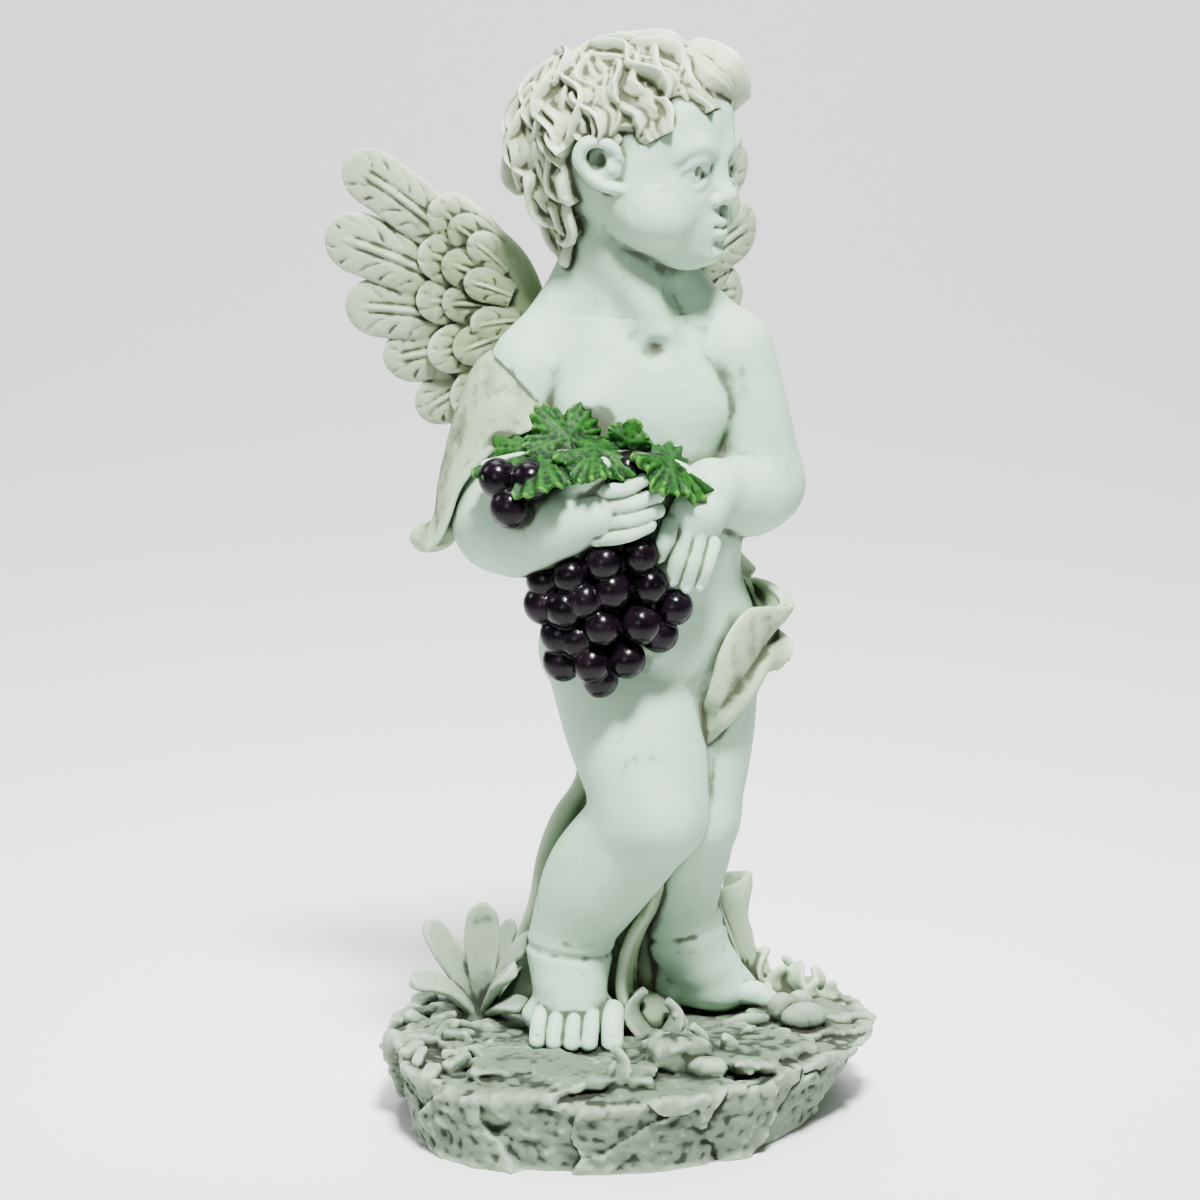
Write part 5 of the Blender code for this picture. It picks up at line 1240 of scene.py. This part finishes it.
def thinned(obj, most):
    """Replaces the object's mesh by one of at most so many triangles."""
    count = 2 * len(obj.data.polygons)
    if count > most:
        modifier = obj.modifiers.new("Fewer faces", "DECIMATE")
        modifier.ratio = most / count
        graph = bpy.context.evaluated_depsgraph_get()
        mesh = bpy.data.meshes.new_from_object(obj.evaluated_get(graph))
        obj.modifiers.clear()
        old, obj.data = obj.data, mesh
        bpy.data.meshes.remove(old)
    obj.data.shade_smooth()


def surface(clay):
    """Points and quads of the clay's surface, without its loose crumbs."""
    grid = openvdb.FloatGrid(BAND)
    grid.copyFromArray(clay.field, tolerance=0.0)
    points, _, quads = grid.convertToPolygons(isovalue=0.0, adaptivity=0.0)
    label = np.arange(len(points))
    while True:
        new = label.copy()
        low = label[quads].min(1)
        for column in range(4):
            np.minimum.at(new, quads[:, column], low)
        new = new[new]
        if (new == label).all():
            break
        label = new
    sizes = np.bincount(label[quads[:, 0]], minlength=len(points))
    keep = sizes[label] >= SMALLEST_CRUMB
    index = np.cumsum(keep) - 1
    return (points[keep] + clay.first) * clay.voxel, index[quads[keep[quads[:, 0]]]]


def make_piece(name, clay, most, finish, crevices):
    """The finished piece, with how enclosed each of its points is stored for the material."""
    obj = bpy.data.objects.new(name, mesh_from(name, *surface(clay)))
    bpy.context.scene.collection.objects.link(obj)
    thinned(obj, most)
    mesh = obj.data
    points = np.empty(3 * len(mesh.vertices), np.float32)
    mesh.vertices.foreach_get("co", points)
    points = (points.reshape(-1, 3) - (0, 0, BASE_THICKNESS)) / UNIT
    for label in CREVICE_REACHES:
        layer = mesh.attributes.new("cavity_" + label, "FLOAT", "POINT")
        layer.data.foreach_set("value", crevices.read(label, points).astype(np.float32))
    material, slot = FINISHES[finish]()
    mesh.materials.append(material)
    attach(obj, "root")
    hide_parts(NODE)


# Materials


class Nodes:
    """Short ways to add and join shader nodes."""

    def __init__(self, name):
        self.material = bpy.data.materials.new(name)
        self.material.use_nodes = True
        self.tree = self.material.node_tree
        self.shader = self.tree.nodes["Principled BSDF"]

    def add(self, kind, **values):
        node = self.tree.nodes.new(kind)
        for key, value in values.items():
            setattr(node, key, value)
        return node

    def join(self, value, socket):
        if isinstance(value, bpy.types.NodeSocket):
            self.tree.links.new(value, socket)
        else:
            socket.default_value = value

    def attribute(self, name):
        return self.add("ShaderNodeAttribute", attribute_name=name).outputs["Fac"]

    def place(self):
        return self.add("ShaderNodeTexCoord").outputs["Object"]

    def noise(self, size, detail=3.0):
        """Noise with features about size metres across, from 0 to 1."""
        node = self.add("ShaderNodeTexNoise")
        self.join(self.place(), node.inputs["Vector"])
        node.inputs["Scale"].default_value = 1 / size
        node.inputs["Detail"].default_value = detail
        node.inputs["Roughness"].default_value = 0.55
        return node.outputs["Fac"]

    def spots(self, size, rarity):
        """Small round marks, 1 in their middle: cells about size metres across."""
        node = self.add("ShaderNodeTexVoronoi")
        self.join(self.place(), node.inputs["Vector"])
        node.inputs["Scale"].default_value = 1 / size
        return self.ramp(node.outputs["Distance"], rarity, 0.0)

    def ramp(self, value, start, stop):
        """0 at start and 1 at stop, smooth between."""
        node = self.add("ShaderNodeMapRange", interpolation_type="SMOOTHSTEP")
        if start > stop:
            start, stop, low, high = stop, start, 1, 0
        else:
            low, high = 0, 1
        self.join(value, node.inputs["Value"])
        numbers = {"From Min": start, "From Max": stop, "To Min": low, "To Max": high}
        for key, number in numbers.items():
            node.inputs[key].default_value = number
        return node.outputs["Result"]

    def maths(self, operation, a, b=0.0, c=0.0):
        node = self.add("ShaderNodeMath", operation=operation)
        for socket, value in zip(node.inputs, (a, b, c)):
            self.join(value, socket)
        return node.outputs[0]

    def stirred(self, value, noise, amount):
        """The value with noise around it, up to half of amount each way."""
        return self.maths("ADD", value, self.maths("MULTIPLY_ADD", noise, amount, -amount / 2))

    def mix(self, share, a, b):
        node = self.add("ShaderNodeMix", data_type="RGBA")
        self.join(share, node.inputs["Factor"])
        for key, value in ((6, a), (7, b)):
            self.join((*value, 1) if isinstance(value, tuple) else value, node.inputs[key])
        return node.outputs[2]

    def bump(self, height, strength, distance):
        node = self.add("ShaderNodeBump")
        self.join(height, node.inputs["Height"])
        node.inputs["Strength"].default_value = strength
        node.inputs["Distance"].default_value = distance
        return node.outputs["Normal"]

    def finished(self, colour, roughness, specular, normal=None):
        """The material, with these looks joined to its shader."""
        self.join(colour, self.shader.inputs["Base Color"])
        self.join(roughness, self.shader.inputs["Roughness"])
        self.join(specular, self.shader.inputs["Specular IOR Level"])
        if normal is not None:
            self.join(normal, self.shader.inputs["Normal"])
        return self.material


def weathered(name, pale, light, wash_and_shade, dirt_and_shade):
    """Pale resin stone with a brown-grey wash left in its cracks, painted shade in its nooks and
    folds, and painted highlights on its edges and open rounded parts. The last number moves where
    the wash and the painted shade start.
    """
    n = Nodes(name)
    fine, middle, wide = (n.attribute("cavity_" + label) for label in CREVICE_REACHES)
    cloud, mottle, speck = n.noise(0.03), n.noise(0.005, 5), n.noise(0.0011, 4)
    broad = n.stirred(n.stirred(wide, cloud, 0.10), mottle, 0.08)
    # Brown wash in the cracks, which also paints the shade that falls in them
    cracks_washed_and_shaded = n.ramp(n.stirred(fine, mottle, 0.14), 0.535 - dirt_and_shade, 0.625 - dirt_and_shade)
    # Painted shade in the nooks and the broad folds, darker where more solid is near
    shade_in_nooks = n.ramp(n.stirred(middle, mottle, 0.08), 0.525 - dirt_and_shade, 0.66 - dirt_and_shade)
    shade_in_folds = n.ramp(broad, 0.50 - dirt_and_shade, 0.78 - dirt_and_shade)
    # Painted highlights on the open rounded parts and on the edges, in the light colour
    highlight_in_the_open = n.ramp(broad, 0.46, 0.26)
    highlight_on_edges = n.ramp(n.stirred(fine, speck, 0.08), 0.45, 0.33)
    in_stains = n.ramp(mottle, 0.54, 0.74)
    pits = n.spots(0.0042, 0.07)
    # dull is the tint of the stains and of the painted shade in the folds; dark is the tint of the
    # painted shade in the nooks
    dull = tuple(0.5 * a + 0.5 * b for a, b in zip(pale, wash_and_shade))
    dark = tuple(0.2 * a + 0.8 * b for a, b in zip(pale, wash_and_shade))
    colour = n.mix(n.ramp(cloud, 0.35, 0.65), pale, tuple(0.9 * v for v in pale))
    for share, strength, tint in (
        (highlight_in_the_open, 0.4, light),
        (highlight_on_edges, 0.45, light),
        (in_stains, 0.14 + 5 * dirt_and_shade, dull),
        (shade_in_folds, 1.0, dull),
        (shade_in_nooks, 0.85, dark),
        (cracks_washed_and_shaded, 0.85, wash_and_shade),
        (pits, 0.35 + 10 * dirt_and_shade, wash_and_shade),
    ):
        colour = n.mix(n.maths("MULTIPLY", share, strength), colour, tint)
    roughness = n.maths("MULTIPLY_ADD", cracks_washed_and_shaded, 0.2, 0.66)
    height = n.maths("ADD", n.maths("MULTIPLY", speck, 0.35), n.maths("MULTIPLY", mottle, 0.9))
    height = n.maths("SUBTRACT", height, n.maths("MULTIPLY", pits, 0.9))
    return n.finished(colour, roughness, 0.3, n.bump(height, 0.4, 0.0006 * (1 + 10 * dirt_and_shade)))


STONES = {
    # Pale ground, painted highlights on the edges and open rounded parts, wash and painted shade in
    # the hollows, and how early the wash and the painted shade start
    "skin": ((0.365, 0.56, 0.405), (0.50, 0.69, 0.54), (0.05, 0.055, 0.03), 0.004),
    "hair": ((0.33, 0.415, 0.26), (0.60, 0.72, 0.55), (0.045, 0.045, 0.022), 0.014),
    "cloth": ((0.245, 0.34, 0.20), (0.47, 0.60, 0.43), (0.026, 0.03, 0.014), 0.014),
    "wing": ((0.19, 0.25, 0.13), (0.48, 0.58, 0.42), (0.012, 0.012, 0.005), 0.022),
    "base": ((0.11, 0.155, 0.10), (0.36, 0.46, 0.34), (0.009, 0.012, 0.006), 0.02),
}


def stone_finish(kind):
    return lambda: (weathered("Weathered stone, " + kind, *STONES[kind]), "weathered_stone")


def grape_finish():
    """Near-black purple paint with a dull bloom."""
    n = Nodes("Painted grape")
    fine = n.attribute("cavity_fine")
    mottle, speck = n.noise(0.006, 4), n.noise(0.0016, 3)
    colour = n.mix(n.ramp(mottle, 0.35, 0.7), (0.002, 0.0012, 0.0022), (0.006, 0.0032, 0.006))
    colour = n.mix(n.maths("MULTIPLY", n.ramp(speck, 0.6, 0.74), 0.25), colour, (0.05, 0.04, 0.05))
    # Painted shade where the grapes crowd together
    colour = n.mix(n.ramp(fine, 0.56, 0.68), colour, (0.004, 0.003, 0.004))
    roughness = n.maths("MULTIPLY_ADD", mottle, 0.15, 0.12)
    normal = n.bump(n.maths("MULTIPLY_ADD", speck, 0.4, mottle), 0.3, 0.0005)
    return n.finished(colour, roughness, 0.16, normal), "painted_grape"


def leaf_finish():
    """Bright green paint, yellower on the raised veins, with painted shade in the hollows."""
    n = Nodes("Painted leaf")
    fine = n.attribute("cavity_fine")
    mottle, speck = n.noise(0.005, 4), n.noise(0.0014, 3)
    colour = n.mix(n.ramp(mottle, 0.3, 0.7), (0.004, 0.036, 0.004), (0.013, 0.082, 0.008))
    colour = n.mix(n.maths("MULTIPLY", n.ramp(fine, 0.36, 0.24), 0.8), colour, (0.06, 0.19, 0.025))
    # Painted shade in the hollows
    colour = n.mix(n.ramp(fine, 0.47, 0.60), colour, (0.003, 0.014, 0.003))
    roughness = n.maths("MULTIPLY_ADD", speck, 0.2, 0.45)
    normal = n.bump(n.maths("MULTIPLY_ADD", speck, 0.5, mottle), 0.35, 0.0005)
    return n.finished(colour, roughness, 0.15, normal), "painted_leaf"


FINISHES = {kind: stone_finish(kind) for kind in STONES}
FINISHES.update(grape=grape_finish, leaf=leaf_finish)


# Stage, light and camera (metres)

MIDDLE = (0, 0, 0.2)
# Each light's name, place, aim, size, power and spread (degrees)
LIGHTS = (
    ("key", (0.15, -1.0, 1.85), MIDDLE, 0.4, 14, 50),
    ("fill", (-0.6, -1.9, 0.8), MIDDLE, 0.8, 0.8, 60),
    ("side", (-1.5, 0.2, 1.2), MIDDLE, 0.7, 1.2, 60),
    ("backdrop", (0.0, 0.9, 2.4), (0.0, 2.3, 0.4), 2.0, 130, 180),
)
WORLD_STRENGTH = 0.06
CAMERA_PLACE, CAMERA_AIM = (-0.012, -1.512, 0.50), (-0.012, 0, 0.1955)
LENS, SENSOR = 126.5, 36


def stage():
    """A pale floor that sweeps up behind the figurine."""
    front, back, side, height, bend = -3.0, 2.2, 4, 3.0, 0.8
    turns = np.linspace(0, math.pi / 2, 16)
    profile = [(front, 0.0)]
    profile += [(back - bend + bend * math.sin(a), bend - bend * math.cos(a)) for a in turns]
    profile += [(back, height)]
    points = [(x, y, z) for y, z in profile for x in (-side, side)]
    faces = [(2 * k, 2 * k + 1, 2 * k + 3, 2 * k + 2) for k in range(len(profile) - 1)]
    mesh = bpy.data.meshes.new("sweep")
    mesh.from_pydata(points, [], faces)
    mesh.shade_smooth()
    floor = bpy.data.objects.new("sweep", mesh)
    mesh.materials.append(Nodes("Pale backdrop").finished((0.78, 0.78, 0.78, 1), 0.9, 0.1))
    bpy.context.scene.collection.objects.link(floor)


def aimed(name, data, spot, aim):
    """An object for a light or camera that looks from spot at aim."""
    obj = bpy.data.objects.new(name, data)
    obj.location = spot
    obj.rotation_euler = (Vector(aim) - Vector(spot)).to_track_quat("-Z", "Y").to_euler()
    bpy.context.scene.collection.objects.link(obj)
    return obj


def lights():
    for name, spot, aim, size, power, spread in LIGHTS:
        light = bpy.data.lights.new(name, "AREA")
        light.shape = "DISK"
        light.size = size
        light.energy = power
        light.spread = math.radians(spread)
        aimed(name, light, spot, aim)
    world = bpy.data.worlds.new("Soft studio")
    world.use_nodes = True
    background = world.node_tree.nodes["Background"]
    background.inputs["Color"].default_value = (1, 1, 1, 1)
    background.inputs["Strength"].default_value = WORLD_STRENGTH
    bpy.context.scene.world = world


def camera():
    data = bpy.data.cameras.new("camera")
    data.lens = LENS
    data.sensor_width = SENSOR
    bpy.context.scene.camera = aimed("camera", data, CAMERA_PLACE, CAMERA_AIM)


stage()
lights()
camera()
rows = all_clay()
crevices = Crevices([clay for _, clay, _, _ in rows])
for name, clay, most, finish in rows:
    make_piece(name, clay, most, finish, crevices)
